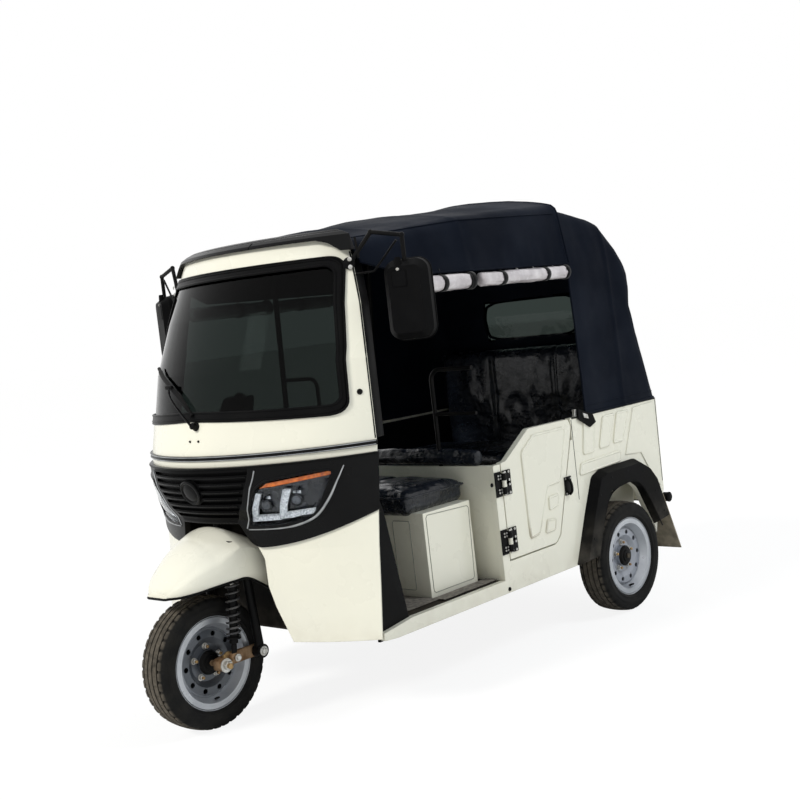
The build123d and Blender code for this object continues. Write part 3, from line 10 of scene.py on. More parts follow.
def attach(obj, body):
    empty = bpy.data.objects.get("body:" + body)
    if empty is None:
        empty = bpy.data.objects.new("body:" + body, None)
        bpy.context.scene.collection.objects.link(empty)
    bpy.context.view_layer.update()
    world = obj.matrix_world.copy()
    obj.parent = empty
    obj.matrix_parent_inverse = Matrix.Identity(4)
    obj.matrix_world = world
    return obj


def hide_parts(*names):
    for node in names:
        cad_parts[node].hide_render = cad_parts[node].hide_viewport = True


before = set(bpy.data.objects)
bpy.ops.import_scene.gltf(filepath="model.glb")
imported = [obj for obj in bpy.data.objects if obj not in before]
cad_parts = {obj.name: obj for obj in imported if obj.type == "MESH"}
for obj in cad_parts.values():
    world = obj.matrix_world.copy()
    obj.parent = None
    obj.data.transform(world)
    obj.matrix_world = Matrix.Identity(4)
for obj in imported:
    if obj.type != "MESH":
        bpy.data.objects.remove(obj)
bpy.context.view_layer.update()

scene = bpy.context.scene
AXLE_Y = -1.055  # row y of the front axle; stations below count from it


def P(x, y, z):
    """A point given by its station behind the front axle."""
    return Vector((x, y + AXLE_Y, z))


# ---------------------------------------------------------------- camera, light, floor
camera = bpy.data.objects.new("camera", bpy.data.cameras.new("camera"))
scene.collection.objects.link(camera)
scene.camera = camera
yaw, pitch, roll = math.radians(43.04), math.radians(3.98), math.radians(-6.6)
ahead = Vector((-math.sin(yaw) * math.cos(pitch), math.cos(yaw) * math.cos(pitch), -math.sin(pitch)))
level_right = Vector((math.cos(yaw), math.sin(yaw), 0))
level_up = level_right.cross(ahead)
cam_right = math.cos(roll) * level_right + math.sin(roll) * level_up
cam_up = -math.sin(roll) * level_right + math.cos(roll) * level_up
turn = Matrix((cam_right, cam_up, -ahead)).transposed()
camera.matrix_world = Matrix.Translation(P(3.632, -2.674, 1.434)) @ turn.to_4x4()
camera.data.lens = 54.77
camera.data.sensor_width = 36
camera.data.clip_end = 200

scene.view_settings.view_transform = "Standard"


def lamp(name, kind, location, target, energy, size=1.0, colour=(1, 1, 1)):
    data = bpy.data.lights.new(name, kind)
    data.energy = energy
    data.color = colour
    if kind == "AREA":
        data.shape = "DISK"
        data.size = size
    else:
        data.angle = size
    obj = bpy.data.objects.new(name, data)
    obj.location = location
    obj.rotation_euler = (Vector(target) - Vector(location)).to_track_quat("-Z", "Y").to_euler()
    obj.visible_glossy = False
    scene.collection.objects.link(obj)
    return obj


lamp("key", "SUN", (-1.6, -6.0, 5.2), (0, 0, 0.4), 2.55, math.radians(14), (1.0, 0.985, 0.95))
lamp("side_fill", "AREA", (6.0, 2.2, 7.0), (0.5, 0.3, 0.8), 300, 2.5, (0.90, 0.95, 1.0))
lamp("rear_fill", "AREA", (-5.0, 6.0, 5.0), (0, 0.4, 0.9), 180, 4.0)


def add_node(tree, kind, constants=None, operation=None):
    """A shader node with constants set on its sockets."""
    made = tree.nodes.new("ShaderNode" + kind)
    if operation:
        made.operation = operation
    for socket, value in (constants or {}).items():
        made.inputs[socket].default_value = value
    return made


def add_mix(tree, first, second, factor):
    """A mix of two colours, each a triple or a socket."""
    mix = tree.nodes.new("ShaderNodeMix")
    mix.data_type = "RGBA"
    for place, value in ((6, first), (7, second)):
        if isinstance(value, tuple):
            mix.inputs[place].default_value = (*value, 1)
        else:
            tree.links.new(value, mix.inputs[place])
    tree.links.new(factor, mix.inputs[0])
    return mix.outputs[2]


# The camera, glass and reflections see white; other rays are lit more softly.
world = bpy.data.worlds.new("studio")
scene.world = world
world.use_nodes = True
tree = world.node_tree
tree.nodes.clear()
seen = add_node(tree, "Background", {0: (1, 1, 1, 1), 1: 1.0})
light = add_node(tree, "Background", {0: (0.93, 0.96, 1, 1), 1: 0.37})
rays = add_node(tree, "LightPath")
either, whiter = (add_node(tree, "Math", operation="MAXIMUM") for _ in range(2))
blend_in = add_node(tree, "MixShader")
out = add_node(tree, "OutputWorld")
for source, target in (
    (rays.outputs["Is Camera Ray"], either.inputs[0]), (rays.outputs["Is Transmission Ray"], either.inputs[1]),
    (either.outputs[0], whiter.inputs[0]), (rays.outputs["Is Glossy Ray"], whiter.inputs[1]),
    (whiter.outputs[0], blend_in.inputs[0]), (light.outputs[0], blend_in.inputs[1]),
    (seen.outputs[0], blend_in.inputs[2]), (blend_in.outputs[0], out.inputs[0]),
):
    tree.links.new(source, target)


# ---------------------------------------------------------------- materials
def material(
    name, colour, rough=0.5, metal=0.0, tint=None, tint_scale=3.0, tint_range=(0.4, 0.7), rough_to=None,
    rough_scale=6.0, grain=None, folds=None, coat=0.0, coat_rough=0.1, sheen=0.0, transmission=0.0, ior=1.45,
    soften=0.0, low_dust=None, specular=0.5,
):
    """A node material: colour drifts to tint over noise, roughness varies, grain and folds are bumps."""
    mat = bpy.data.materials.new(name)
    mat.use_nodes = True
    tree = mat.node_tree
    link = tree.links.new
    bsdf = tree.nodes["Principled BSDF"]
    for socket, value in {
        "Base Color": (*colour, 1), "Roughness": rough, "Metallic": metal, "Specular IOR Level": specular,
        "Coat Weight": coat, "Coat Roughness": coat_rough, "Sheen Weight": sheen,
        "Transmission Weight": transmission, "IOR": ior,
    }.items():
        bsdf.inputs[socket].default_value = value
    where = add_node(tree, "TexCoord").outputs["Object"]

    def cloud(scale, detail=3.0, stretch=None):
        tex = add_node(tree, "TexNoise", {"Scale": scale, "Detail": detail})
        source = where
        if stretch:
            mapping = add_node(tree, "Mapping", {"Scale": stretch})
            link(where, mapping.inputs["Vector"])
            source = mapping.outputs[0]
        link(source, tex.inputs["Vector"])
        return tex.outputs["Fac"]

    def ramp(value, low, high, to_low=0.0, to_high=1.0):
        limits = {"From Min": low, "From Max": high, "To Min": to_low, "To Max": to_high}
        ranged = add_node(tree, "MapRange", limits)
        link(value, ranged.inputs["Value"])
        return ranged.outputs[0]

    colour_now = colour
    if tint:
        colour_now = add_mix(tree, colour, tint, ramp(cloud(tint_scale, 4.0), *tint_range))
    if low_dust:
        dust, top, bottom = low_dust
        apart = add_node(tree, "SeparateXYZ")
        link(where, apart.inputs[0])
        amount = add_node(tree, "Math", operation="MULTIPLY")
        link(ramp(apart.outputs["Z"], top, bottom), amount.inputs[0])
        link(ramp(cloud(14.0, 5.0), 0.35, 0.75, 0.15, 1.0), amount.inputs[1])
        colour_now = add_mix(tree, colour_now, dust, amount.outputs[0])
    if colour_now is not colour:
        link(colour_now, bsdf.inputs["Base Color"])
    if rough_to is not None:
        link(ramp(cloud(rough_scale, 4.0), 0.35, 0.65, rough, rough_to), bsdf.inputs["Roughness"])
    normal = None
    if soften:
        edge = add_node(tree, "Bevel", {"Radius": soften})
        edge.samples = 4
        normal = edge.outputs[0]
    for scale, height, detail, stretch in (folds or []) + (grain or []):
        bump = add_node(tree, "Bump", {"Strength": 1.0, "Distance": height})
        link(cloud(scale, detail, stretch), bump.inputs["Height"])
        if normal:
            link(normal, bump.inputs["Normal"])
        normal = bump.outputs[0]
    if normal:
        link(normal, bsdf.inputs["Normal"])
    return mat


CREAM = (0.84, 0.82, 0.69)
cream_paint = material(
    "cream_paint", CREAM, 0.24, tint=(0.80, 0.785, 0.67), tint_scale=2.2, rough_to=0.34,
    grain=[(420.0, 0.00002, 2.0, None)], coat=0.5, coat_rough=0.06, soften=0.004,
    low_dust=((0.62, 0.58, 0.47), 0.40, 0.20),
)
black_plastic = material(
    "black_plastic", (
        0.003218, 0.003218, 0.003465,
    ), 0.40, tint=(0.005445, 0.005445, 0.005692), tint_scale=7.0, specular=0.05,
    rough_to=0.52, grain=[(1500.0, 0.00006, 2.0, None)], soften=0.003,
)
mask_plastic = material(
    "mask_plastic", (
        0.002475, 0.002475, 0.002723,
    ), 0.26, tint=(0.00396, 0.00396, 0.004208), tint_scale=5.0, specular=0.09,
    rough_to=0.36, grain=[(1500.0, 0.00002, 2.0, None)], coat=0.12, coat_rough=0.12, soften=0.004,
)
flare_plastic = material(
    "flare_plastic", (
        0.00432, 0.00432, 0.00459,
    ), 0.48, tint=(0.0081, 0.00783, 0.00729), tint_scale=6.0, specular=0.05,
    rough_to=0.62, grain=[(1200.0, 0.00010, 2.0, None)], soften=0.005,
    low_dust=((0.10, 0.09, 0.075), 0.50, 0.25),
)
black_steel = material(
    "black_steel", (0.0036, 0.0036, 0.0039), 0.34, tint=(0.0084, 0.0078, 0.0072), tint_scale=9.0, specular=0.10,
    rough_to=0.5, grain=[(600.0, 0.00004, 2.0, None)], soften=0.002,
)
frame_steel = material(
    "frame_steel", (
        0.004095, 0.004095, 0.004095,
    ), 0.5, tint=(0.01733, 0.01512, 0.0126), tint_scale=11.0, specular=0.06,
    rough_to=0.75, grain=[(500.0, 0.00008, 3.0, None)], soften=0.002,
    low_dust=((0.13, 0.11, 0.085), 0.42, 0.20),
)
rusty_steel = material(
    "rusty_steel", (0.17, 0.095, 0.045), 0.6, metal=0.35, tint=(0.36, 0.24, 0.14), tint_scale=28.0,
    rough_to=0.85, rough_scale=30.0, grain=[(260.0, 0.0004, 5.0, None)], soften=0.002,
)
zinc = material(
    "zinc", (0.62, 0.62, 0.60), 0.28, metal=0.9, tint=(0.42, 0.40, 0.36), tint_scale=40.0,
    rough_to=0.42, grain=[(700.0, 0.00005, 2.0, None)],
)
brass = material(
    "brass", (0.48, 0.33, 0.15), 0.35, metal=0.8, tint=(0.22, 0.13, 0.07), tint_scale=45.0,
    rough_to=0.6, grain=[(500.0, 0.0001, 3.0, None)],
)
gasket_rubber = material(
    "gasket_rubber", (0.0027, 0.0027, 0.00297), 0.30, tint=(0.00486, 0.00486, 0.00486), tint_scale=8.0, specular=0.08,
    rough_to=0.42, grain=[(900.0, 0.00004, 2.0, None)], soften=0.006,
)
flap_rubber = material(
    "flap_rubber", (0.30, 0.26, 0.19), 0.85, tint=(0.10, 0.085, 0.06), tint_scale=16.0,
    grain=[(160.0, 0.0006, 5.0, None)], rough_to=0.95,
)
screen_glass = material(
    "screen_glass", (0.016, 0.022, 0.020), 0.01, transmission=1.0, ior=1.16,
    grain=[(2.0, 0.0002, 0.0, None)],
)
clear_lens = material(
    "clear_lens", (0.93, 0.95, 0.97), 0.015, transmission=1.0, ior=1.10,
    grain=[(30.0, 0.00004, 1.0, None)],
)
film = material(
    "film", (0.034, 0.044, 0.040), 0.04, transmission=1.0, ior=1.2,
    folds=[(5.0, 0.004, 2.0, (1.0, 1.0, 0.35))], grain=[(60.0, 0.0003, 2.0, None)],
)
mirror_glass = material(
    "mirror_glass", (0.85, 0.87, 0.88), 0.02, metal=1.0, grain=[(3.0, 0.00005, 1.0, None)]
)
reflector = material(
    "reflector", (0.75, 0.77, 0.80), 0.08, metal=1.0, tint=(0.5, 0.52, 0.55), tint_scale=60.0,
    grain=[(160.0, 0.0004, 1.0, None)],
)
light_guide = material(
    "light_guide", (0.92, 0.94, 0.96), 0.14, tint=(0.34, 0.37, 0.42), tint_scale=150.0,
    grain=[(260.0, 0.0012, 1.0, None)], coat=0.6,
)
amber = material(
    "amber", (0.86, 0.20, 0.02), 0.16, tint=(0.50, 0.08, 0.01), tint_scale=70.0,
    grain=[(200.0, 0.0006, 1.0, None)], coat=0.6,
)
red_lens = material(
    "red_lens", (0.50, 0.012, 0.010), 0.12, tint=(0.28, 0.006, 0.006), tint_scale=60.0,
    grain=[(180.0, 0.0005, 1.0, None)], coat=0.8,
)
silver_line = material(
    "silver_line", (0.46, 0.47, 0.48), 0.30, metal=0.7, tint=(0.30, 0.31, 0.32), tint_scale=20.0,
    grain=[(800.0, 0.00004, 1.0, None)],
)
rim_paint = material(
    "rim_paint", (0.48, 0.50, 0.53), 0.30, metal=0.55, tint=(0.34, 0.36, 0.39), tint_scale=9.0,
    rough_to=0.44, grain=[(900.0, 0.00003, 2.0, None)], coat=0.4, coat_rough=0.12, soften=0.003,
)
canvas = material(
    "canvas", (0.0035, 0.0052, 0.0098), 0.56, tint=(0.0075, 0.0100, 0.0165), tint_scale=3.5,
    rough_to=0.74, rough_scale=4.0, specular=0.05,
    folds=[(7.0, 0.0022, 3.0, None)], grain=[
        (1700.0, 0.00012, 1.0, (1.0, 1.0, 0.25)), (1700.0, 0.00012, 1.0, (1.0, 0.25, 1.0)),
    ],
)
lining = material(
    "lining", (0.004, 0.004, 0.005), 0.85, tint=(0.008, 0.008, 0.009), tint_scale=5.0, specular=0.05,
    folds=[(9.0, 0.002, 2.0, None)], grain=[(900.0, 0.0001, 2.0, None)],
)
webbing = material(
    "webbing", (
        0.00245, 0.00245, 0.0028,
    ), 0.7, tint=(0.0063, 0.0063, 0.007), tint_scale=40.0, sheen=0.2, specular=0.05,
    grain=[(700.0, 0.0004, 1.0, (0.2, 1.0, 1.0))],
)
vinyl = material(
    "vinyl", (0.006, 0.008, 0.012), 0.38, tint=(0.014, 0.018, 0.026), tint_scale=9.0, specular=0.22,
    rough_to=0.22, rough_scale=12.0, coat=0.45, coat_rough=0.10,
    folds=[(11.0, 0.030, 4.0, (1.0, 0.35, 1.6)), (30.0, 0.010, 4.0, (0.5, 1.5, 1.0)), (75.0, 0.0025, 3.0, None)],
    grain=[(900.0, 0.00008, 2.0, None)],
)
roll_film = material(
    "roll_film", (0.50, 0.46, 0.47), 0.30, tint=(0.74, 0.70, 0.70), tint_scale=13.0,
    rough_to=0.16, rough_scale=10.0, coat=0.7, coat_rough=0.10,
    folds=[(14.0, 0.006, 3.0, (1.6, 0.5, 1.6)), (46.0, 0.002, 3.0, (1.0, 0.6, 1.0))],
)
mat_carpet = material(
    "mat_carpet", (0.23, 0.21, 0.18), 0.95, tint=(0.11, 0.10, 0.088), tint_scale=60.0,
    tint_range=(0.35, 0.65), grain=[(420.0, 0.0012, 3.0, None)],
)
plate_paint = material(
    "plate_paint", (0.78, 0.78, 0.74), 0.35, tint=(0.70, 0.70, 0.66), tint_scale=10.0,
    grain=[(500.0, 0.00005, 2.0, None)], coat=0.3,
)
case_plastic = material(
    "case_plastic", (0.045, 0.045, 0.05), 0.5, tint=(0.07, 0.07, 0.07), tint_scale=10.0,
    grain=[(900.0, 0.0001, 2.0, None)], soften=0.004,
)


def axle_band(tree, low, high, middle=(0, 0, 0)):
    """Object coordinates, and a ramp from 0 to 1 as the distance from the wheel's axle goes low to high."""
    link = tree.links.new
    where = add_node(tree, "TexCoord").outputs["Object"]
    moved = add_node(tree, "VectorMath", {1: middle}, "SUBTRACT")
    link(where, moved.inputs[0])
    flat = add_node(tree, "VectorMath", {1: (0, 1, 1)}, "MULTIPLY")
    link(moved.outputs[0], flat.inputs[0])
    reach = add_node(tree, "VectorMath", operation="LENGTH")
    link(flat.outputs[0], reach.inputs[0])
    band = add_node(tree, "MapRange", {"From Min": low, "From Max": high})
    link(reach.outputs["Value"], band.inputs["Value"])
    return where, band.outputs[0]


def tyre_material():
    """Black rubber with pale road dust on the tread; coordinates start at the wheel's middle."""
    mat = material(
        "tyre_rubber", (0.009, 0.009, 0.009), 0.62, tint=(0.0165, 0.01575, 0.01425), tint_scale=14.0,
        specular=0.12, rough_to=0.8, grain=[(500.0, 0.0003, 3.0, None)],
    )
    tree = mat.node_tree
    link = tree.links.new
    colour = tree.nodes["Principled BSDF"].inputs["Base Color"]
    before = colour.links[0].from_socket
    where, band = axle_band(tree, 0.2365, 0.2425)
    speck = add_node(tree, "TexNoise", {"Scale": 45.0, "Detail": 6.0})
    link(where, speck.inputs["Vector"])
    share = add_node(tree, "MapRange", {"From Min": 0.3, "From Max": 0.7, "To Min": 0.35, "To Max": 1.0})
    link(speck.outputs["Fac"], share.inputs["Value"])
    both = add_node(tree, "Math", operation="MULTIPLY")
    link(band, both.inputs[0])
    link(share.outputs[0], both.inputs[1])
    link(add_mix(tree, before, (0.125, 0.108, 0.085), both.outputs[0]), colour)
    return mat


tyre_rubber = tyre_material()

CAD_FINISH = {
    cream_paint: (
        "cab_lower cab_upper side_panel_left side_panel_right door_left door_right bulkhead "
        "driver_seat_box passenger_seat_base rear_panel front_mudguard"
    ),
    mask_plastic: "front_mask belt_trim visor",
    black_plastic: "grille dashboard mirrors headlamp_housings",
    flare_plastic: "fender_flares",
    black_steel: "canopy_frame partition_rail mirror_brackets handlebar door_hinges steering_fork front_shocks",
    frame_steel: "chassis_frame floor_pan rear_axle leaf_springs rear_bumper tow_eye",
    rusty_steel: "link_arms",
    gasket_rubber: "windshield_gasket cab_liners",
    flap_rubber: "mudflaps",
    screen_glass: "windshield",
    clear_lens: "headlamp_lenses",
    red_lens: "tail_lamps",
    rim_paint: "front_rim rear_left_rim rear_right_rim",
    case_plastic: "battery_pack",
    canvas: "canopy_roof rear_hood",
    vinyl: "driver_seat_cushion driver_backrest passenger_cushion passenger_backrest",
    roll_film: "curtain_rolls",
    tyre_rubber: "front_tyre rear_left_tyre rear_right_tyre",
}
for finish, names in CAD_FINISH.items():
    for node_name in names.split():
        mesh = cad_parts[node_name].data
        mesh.materials.clear()
        mesh.materials.append(finish)


# ---------------------------------------------------------------- shapes
class Shape:
    """Vertices and faces gathered into one piece; each call may give its faces another material."""

    def __init__(self):
        self.verts, self.faces, self.finish = [], [], []

    def add(self, verts, faces, index=0):
        base = len(self.verts)
        self.verts += [Vector(v) for v in verts]
        self.faces += [[i + base for i in f] for f in faces]
        self.finish += [index] * len(faces)

    def tube(self, points, radius, sides=10, index=0, closed=False, flat=1.0):
        """A round bar along points; flat squeezes it to an oval."""
        points = [Vector(p) for p in points]
        count = len(points)
        rings = []
        normal = None
        for i, point in enumerate(points):
            before = points[i - 1] if (i or closed) else point
            after = points[(i + 1) % count] if (i < count - 1 or closed) else point
            along = (after - before).normalized()
            if normal is None:
                normal = along.orthogonal()
            normal = (normal - along * normal.dot(along)).normalized()
            across = along.cross(normal)
            r = radius[i] if isinstance(radius, (list, tuple)) else radius
            for k in range(sides):
                a = 2 * math.pi * (k + 0.5) / sides
                rings.append(point + across * (r * math.cos(a)) + normal * (r * flat * math.sin(a)))
        faces = []
        for i in range(count if closed else count - 1):
            j = (i + 1) % count
            for k in range(sides):
                m = (k + 1) % sides
                faces.append([i * sides + k, i * sides + m, j * sides + m, j * sides + k])
        if not closed:
            faces.append(list(range(sides))[::-1])
            faces.append([(count - 1) * sides + k for k in range(sides)])
        self.add(rings, faces, index)

    def box(self, centre, size, axes=None, index=0, chamfer=0.0):
        """A block with chamfered edges on three axes."""
        centre = Vector(centre)
        axes = axes or (Vector((1, 0, 0)), Vector((0, 1, 0)), Vector((0, 0, 1)))
        made = bmesh.new()
        bmesh.ops.create_cube(made, size=1.0)
        for v in made.verts:
            v.co = Vector((v.co.x * size[0], v.co.y * size[1], v.co.z * size[2]))
        if chamfer:
            bmesh.ops.bevel(made, geom=made.edges[:], offset=chamfer, segments=2, profile=0.6, affect="EDGES")
        made.verts.index_update()
        verts = [centre + axes[0] * v.co.x + axes[1] * v.co.y + axes[2] * v.co.z for v in made.verts]
        faces = [[v.index for v in f.verts] for f in made.faces]
        made.free()
        self.add(verts, faces, index)

    def turned(self, origin, axis, profile, segments=32, index=0, hoop=False):
        """A turned form: profile pairs (along the axis, radius); a hoop's profile closes on itself."""
        origin, axis = Vector(origin), Vector(axis).normalized()
        u = axis.orthogonal().normalized()
        w = axis.cross(u)
        verts, faces = [], []
        for along, radius in profile:
            for k in range(segments):
                a = 2 * math.pi * k / segments
                verts.append(origin + axis * along + (u * math.cos(a) + w * math.sin(a)) * radius)
        for i in range(len(profile) if hoop else len(profile) - 1):
            j = (i + 1) % len(profile)
            for k in range(segments):
                m = (k + 1) % segments
                faces.append([i * segments + k, i * segments + m, j * segments + m, j * segments + k])
        if hoop:
            self.add(verts, faces, index)
            return
        if profile[0][1] > 1e-6:
            faces.append(list(range(segments))[::-1])
        if profile[-1][1] > 1e-6:
            faces.append([(len(profile) - 1) * segments + k for k in range(segments)])
        self.add(verts, faces, index)

    def bolt(self, point, normal, radius, index=0, height=None):
        """A hexagon head on a washer."""
        tall = height or radius * 0.75
        self.turned(
            point, normal, [(-0.001, radius * 1.45), (radius * 0.18, radius * 1.45), (radius * 0.22, radius * 1.3)],
            20, index,
        )
        self.turned(point, normal, [(radius * 0.2, radius), (tall * 0.85, radius), (tall, radius * 0.82)], 6, index)

    def grid(self, rows, index=0, closed=False):
        """A sheet through rows of points."""
        width = len(rows[0])
        verts = [p for row in rows for p in row]
        faces = []
        for i in range(len(rows) - 1):
            for k in range(width if closed else width - 1):
                m = (k + 1) % width
                faces.append([i * width + k, i * width + m, (i + 1) * width + m, (i + 1) * width + k])
        self.add(verts, faces, index)

    def plate(self, outline, normal, thickness, index=0):
        """A flat plate of any outline, thickened along normal."""
        count = len(outline)
        shift = Vector(normal) * thickness
        verts = [Vector(p) for p in outline] + [Vector(p) + shift for p in outline]
        faces = [list(range(count))[::-1], [count + k for k in range(count)]]
        faces += [[k, (k + 1) % count, count + (k + 1) % count, count + k] for k in range(count)]
        self.add(verts, faces, index)

    def make(self, name, body, finishes, slot=None, smooth=50.0, replaces=(), origin=None):
        """The gathered faces as one piece that rides on a body."""
        mesh = bpy.data.meshes.new(name)
        origin = Vector(origin) if origin is not None else Vector((0, 0, 0))
        mesh.from_pydata([tuple(v - origin) for v in self.verts], [], self.faces)
        for finish in finishes if isinstance(finishes, (list, tuple)) else [finishes]:
            mesh.materials.append(finish)
        mesh.polygons.foreach_set("material_index", self.finish)
        made = bmesh.new()
        made.from_mesh(mesh)
        bmesh.ops.recalc_face_normals(made, faces=made.faces[:])
        made.to_mesh(mesh)
        made.free()
        obj = bpy.data.objects.new(name, mesh)
        obj.location = origin
        scene.collection.objects.link(obj)
        if smooth:
            mesh.shade_smooth()
            mesh.set_sharp_from_angle(angle=math.radians(smooth))
        if replaces:
            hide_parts(*replaces)
        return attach(obj, body)


def apply_modifiers(obj):
    graph = bpy.context.evaluated_depsgraph_get()
    done = bpy.data.meshes.new_from_object(obj.evaluated_get(graph))
    old = obj.data
    obj.modifiers.clear()
    obj.data = done
    done.name = old.name
    return obj


def smooth_line(points, share=0.25, rounds=2, closed=False):
    """Corner cutting: each run keeps its middle part."""
    points = [Vector(p) for p in points]
    for _ in range(rounds):
        cut = [] if closed else [points[0]]
        pairs = list(zip(points, points[1:] + points[:1])) if closed else list(zip(points, points[1:]))
        for a, b in pairs:
            cut += [a.lerp(b, share), a.lerp(b, 1 - share)]
        if not closed:
            cut.append(points[-1])
        points = cut
    return points


def spaced(points, count, closed=False):
    """Points at equal steps along a line."""
    points = [Vector(p) for p in points]
    if closed:
        points = points + [points[0]]
    lengths = [0.0]
    for a, b in zip(points, points[1:]):
        lengths.append(lengths[-1] + (b - a).length)
    found, k = [], 0
    steps = count if closed else count - 1
    for i in range(count):
        want = lengths[-1] * i / steps
        while k < len(points) - 2 and lengths[k + 1] < want:
            k += 1
        run = max(lengths[k + 1] - lengths[k], 1e-9)
        found.append(points[k].lerp(points[k + 1], min(1.0, max(0.0, (want - lengths[k]) / run))))
    return found


def bend_line(points, count):
    """An open line with rounded corners, as equal steps."""
    return spaced(smooth_line(points), count)


def bend_loop(points, share, rounds, count):
    """A closed line with rounded corners, as equal steps."""
    return spaced(smooth_line(points, share, rounds, True), count, True)


def wave(point, scale, seed=0.0):
    """Smooth noise from -1 to 1 at a point."""
    return noise.noise(Vector((point[0] * scale + seed, point[1] * scale - seed, point[2] * scale + 2 * seed)))


# ---------------------------------------------------------------- cab surface, as in the source
CAB_LOWER = ((0.300, 0.135, 0.620, 0.322), (0.480, 0.130, 0.619, 0.345), (0.640, 0.124, 0.617, 0.364),
             (0.780, 0.100, 0.616, 0.385), (0.880, 0.052, 0.615, 0.398), (0.986, 0.043, 0.615, 0.413))
CAB_UPPER = ((0.986, 0.043, 0.615, 0.413), (1.300, 0.115, 0.590, 0.440), (1.500, 0.203, 0.555, 0.476),
             (1.650, 0.280, 0.512, 0.503), (1.756, 0.336, 0.478, 0.522))
MASK = ((0.640, 0.112, 0.622, 0.364), (0.760, 0.092, 0.621, 0.382), (0.800, 0.064, 0.621, 0.387),
        (0.880, 0.034, 0.621, 0.398), (0.986, 0.026, 0.621, 0.413))
VISOR = ((1.680, 0.272, 0.524, 0.490), (1.750, 0.316, 0.500, 0.512), (1.762, 0.336, 0.486, 0.524),
         (1.774, 0.372, 0.462, 0.530))


def table_at(rows, value):
    """A row of the table, by straight steps between its heights or stations."""
    if value <= rows[0][0]:
        low, high = rows[0], rows[1]
    elif value >= rows[-1][0]:
        low, high = rows[-2], rows[-1]
    else:
        low, high = next((a, b) for a, b in zip(rows, rows[1:]) if a[0] <= value <= b[0])
    t = (value - low[0]) / (high[0] - low[0])
    return [a + (b - a) * t for a, b in zip(low, high)]


def station(rows, x, z):
    """Where the cab's bowed front lies at a width and height."""
    _, apex, rear_x, rear_y = table_at(rows, z)
    rise = rear_y - apex
    radius = (rear_x**2 + rise**2) / (2 * rise)
    return apex + radius - math.sqrt(max(radius**2 - x**2, 0.0))


def skin(rows, x, z, proud=0.0):
    """A point on the cab's surface, stood off it by proud."""
    y = station(rows, x, z)
    out = Vector((station(rows, x + 0.002, z) - y, -0.002, station(rows, x, z + 0.002) - y)).normalized()
    return P(x, y, z) + out * proud


def skin_out(rows, x, z):
    """The way out of the surface at a point."""
    return (skin(rows, x, z, 1.0) - skin(rows, x, z)).normalized()


def skin_line(rows, points, proud=0.0, count=40, rounds=2, closed=False):
    """A line over the surface through points (x, z)."""
    flat = spaced(smooth_line([(x, 0, z) for x, z in points], rounds=rounds, closed=closed), count, closed)
    return [skin(rows, p.x, p.z, proud) for p in flat]


def skin_quad(shape, rows, quad, proud, thick, nu=10, nv=4, index=0):
    """A plate that follows the surface between four corners (x, z)."""
    a, b, c, d = [Vector(q) for q in quad]
    layers = []
    for depth in (proud, proud - thick):
        layers.append([
            [skin(rows, *(a.lerp(b, i / nu).lerp(d.lerp(c, i / nu), j / nv)), depth) for i in range(nu + 1)]
            for j in range(nv + 1)
        ])
    top, low = layers
    wide = nu + 1
    verts = [p for row in top for p in row] + [p for row in low for p in row]
    half = wide * (nv + 1)
    faces = []
    for j in range(nv):
        for i in range(nu):
            q = [j * wide + i, j * wide + i + 1, (j + 1) * wide + i + 1, (j + 1) * wide + i]
            faces += [q, [k + half for k in q[::-1]]]
    rim = [i for i in range(wide)] + [j * wide + nu for j in range(1, nv + 1)]
    rim += [nv * wide + i for i in range(nu - 1, -1, -1)] + [j * wide for j in range(nv - 1, 0, -1)]
    for k, m in zip(rim, rim[1:] + rim[:1]):
        faces.append([k, m, m + half, k + half])
    shape.add(verts, faces, index)


def rounded(points):
    """A closed outline whose corners (x, z, radius) are rounded."""
    flat = []
    count = len(points)
    for k, (x, z, r) in enumerate(points):
        here = Vector((x, z))
        if not r:
            flat.append((x, z))
            continue
        a = (Vector(points[k - 1][:2]) - here).normalized()
        b = (Vector(points[(k + 1) % count][:2]) - here).normalized()
        reach = r / math.tan(a.angle(b) / 2)
        start, stop = here + a * reach, here + b * reach
        for step in range(9):
            t = step / 8
            p = start.lerp(here, t).lerp(here.lerp(stop, t), t)
            flat.append((p.x, p.y))
    return flat


def cloth(shape, rows, thick, keep=None, index=0):
    """A closed sheet of even thickness through rows of points; keep(row, column) may leave cells out."""
    tall, wide = len(rows), len(rows[0])
    across = []
    for j in range(tall):
        for i in range(wide):
            right = rows[j][min(i + 1, wide - 1)] - rows[j][max(i - 1, 0)]
            up = rows[min(j + 1, tall - 1)][i] - rows[max(j - 1, 0)][i]
            n = right.cross(up)
            across.append(n.normalized() if n.length > 1e-12 else Vector((0, 0, 1)))
    flat = [p for row in rows for p in row]
    verts = flat + [p - n * thick for p, n in zip(flat, across)]
    half = tall * wide
    faces, edges = [], {}
    for j in range(tall - 1):
        for i in range(wide - 1):
            if keep and not keep(j, i):
                continue
            q = [j * wide + i, j * wide + i + 1, (j + 1) * wide + i + 1, (j + 1) * wide + i]
            faces += [q, [k + half for k in q[::-1]]]
            for k, m in zip(q, q[1:] + q[:1]):
                if (m, k) in edges:
                    del edges[(m, k)]
                else:
                    edges[(k, m)] = 1
    for k, m in edges:
        faces.append([m, k, k + half, m + half])
    shape.add(verts, faces, index)


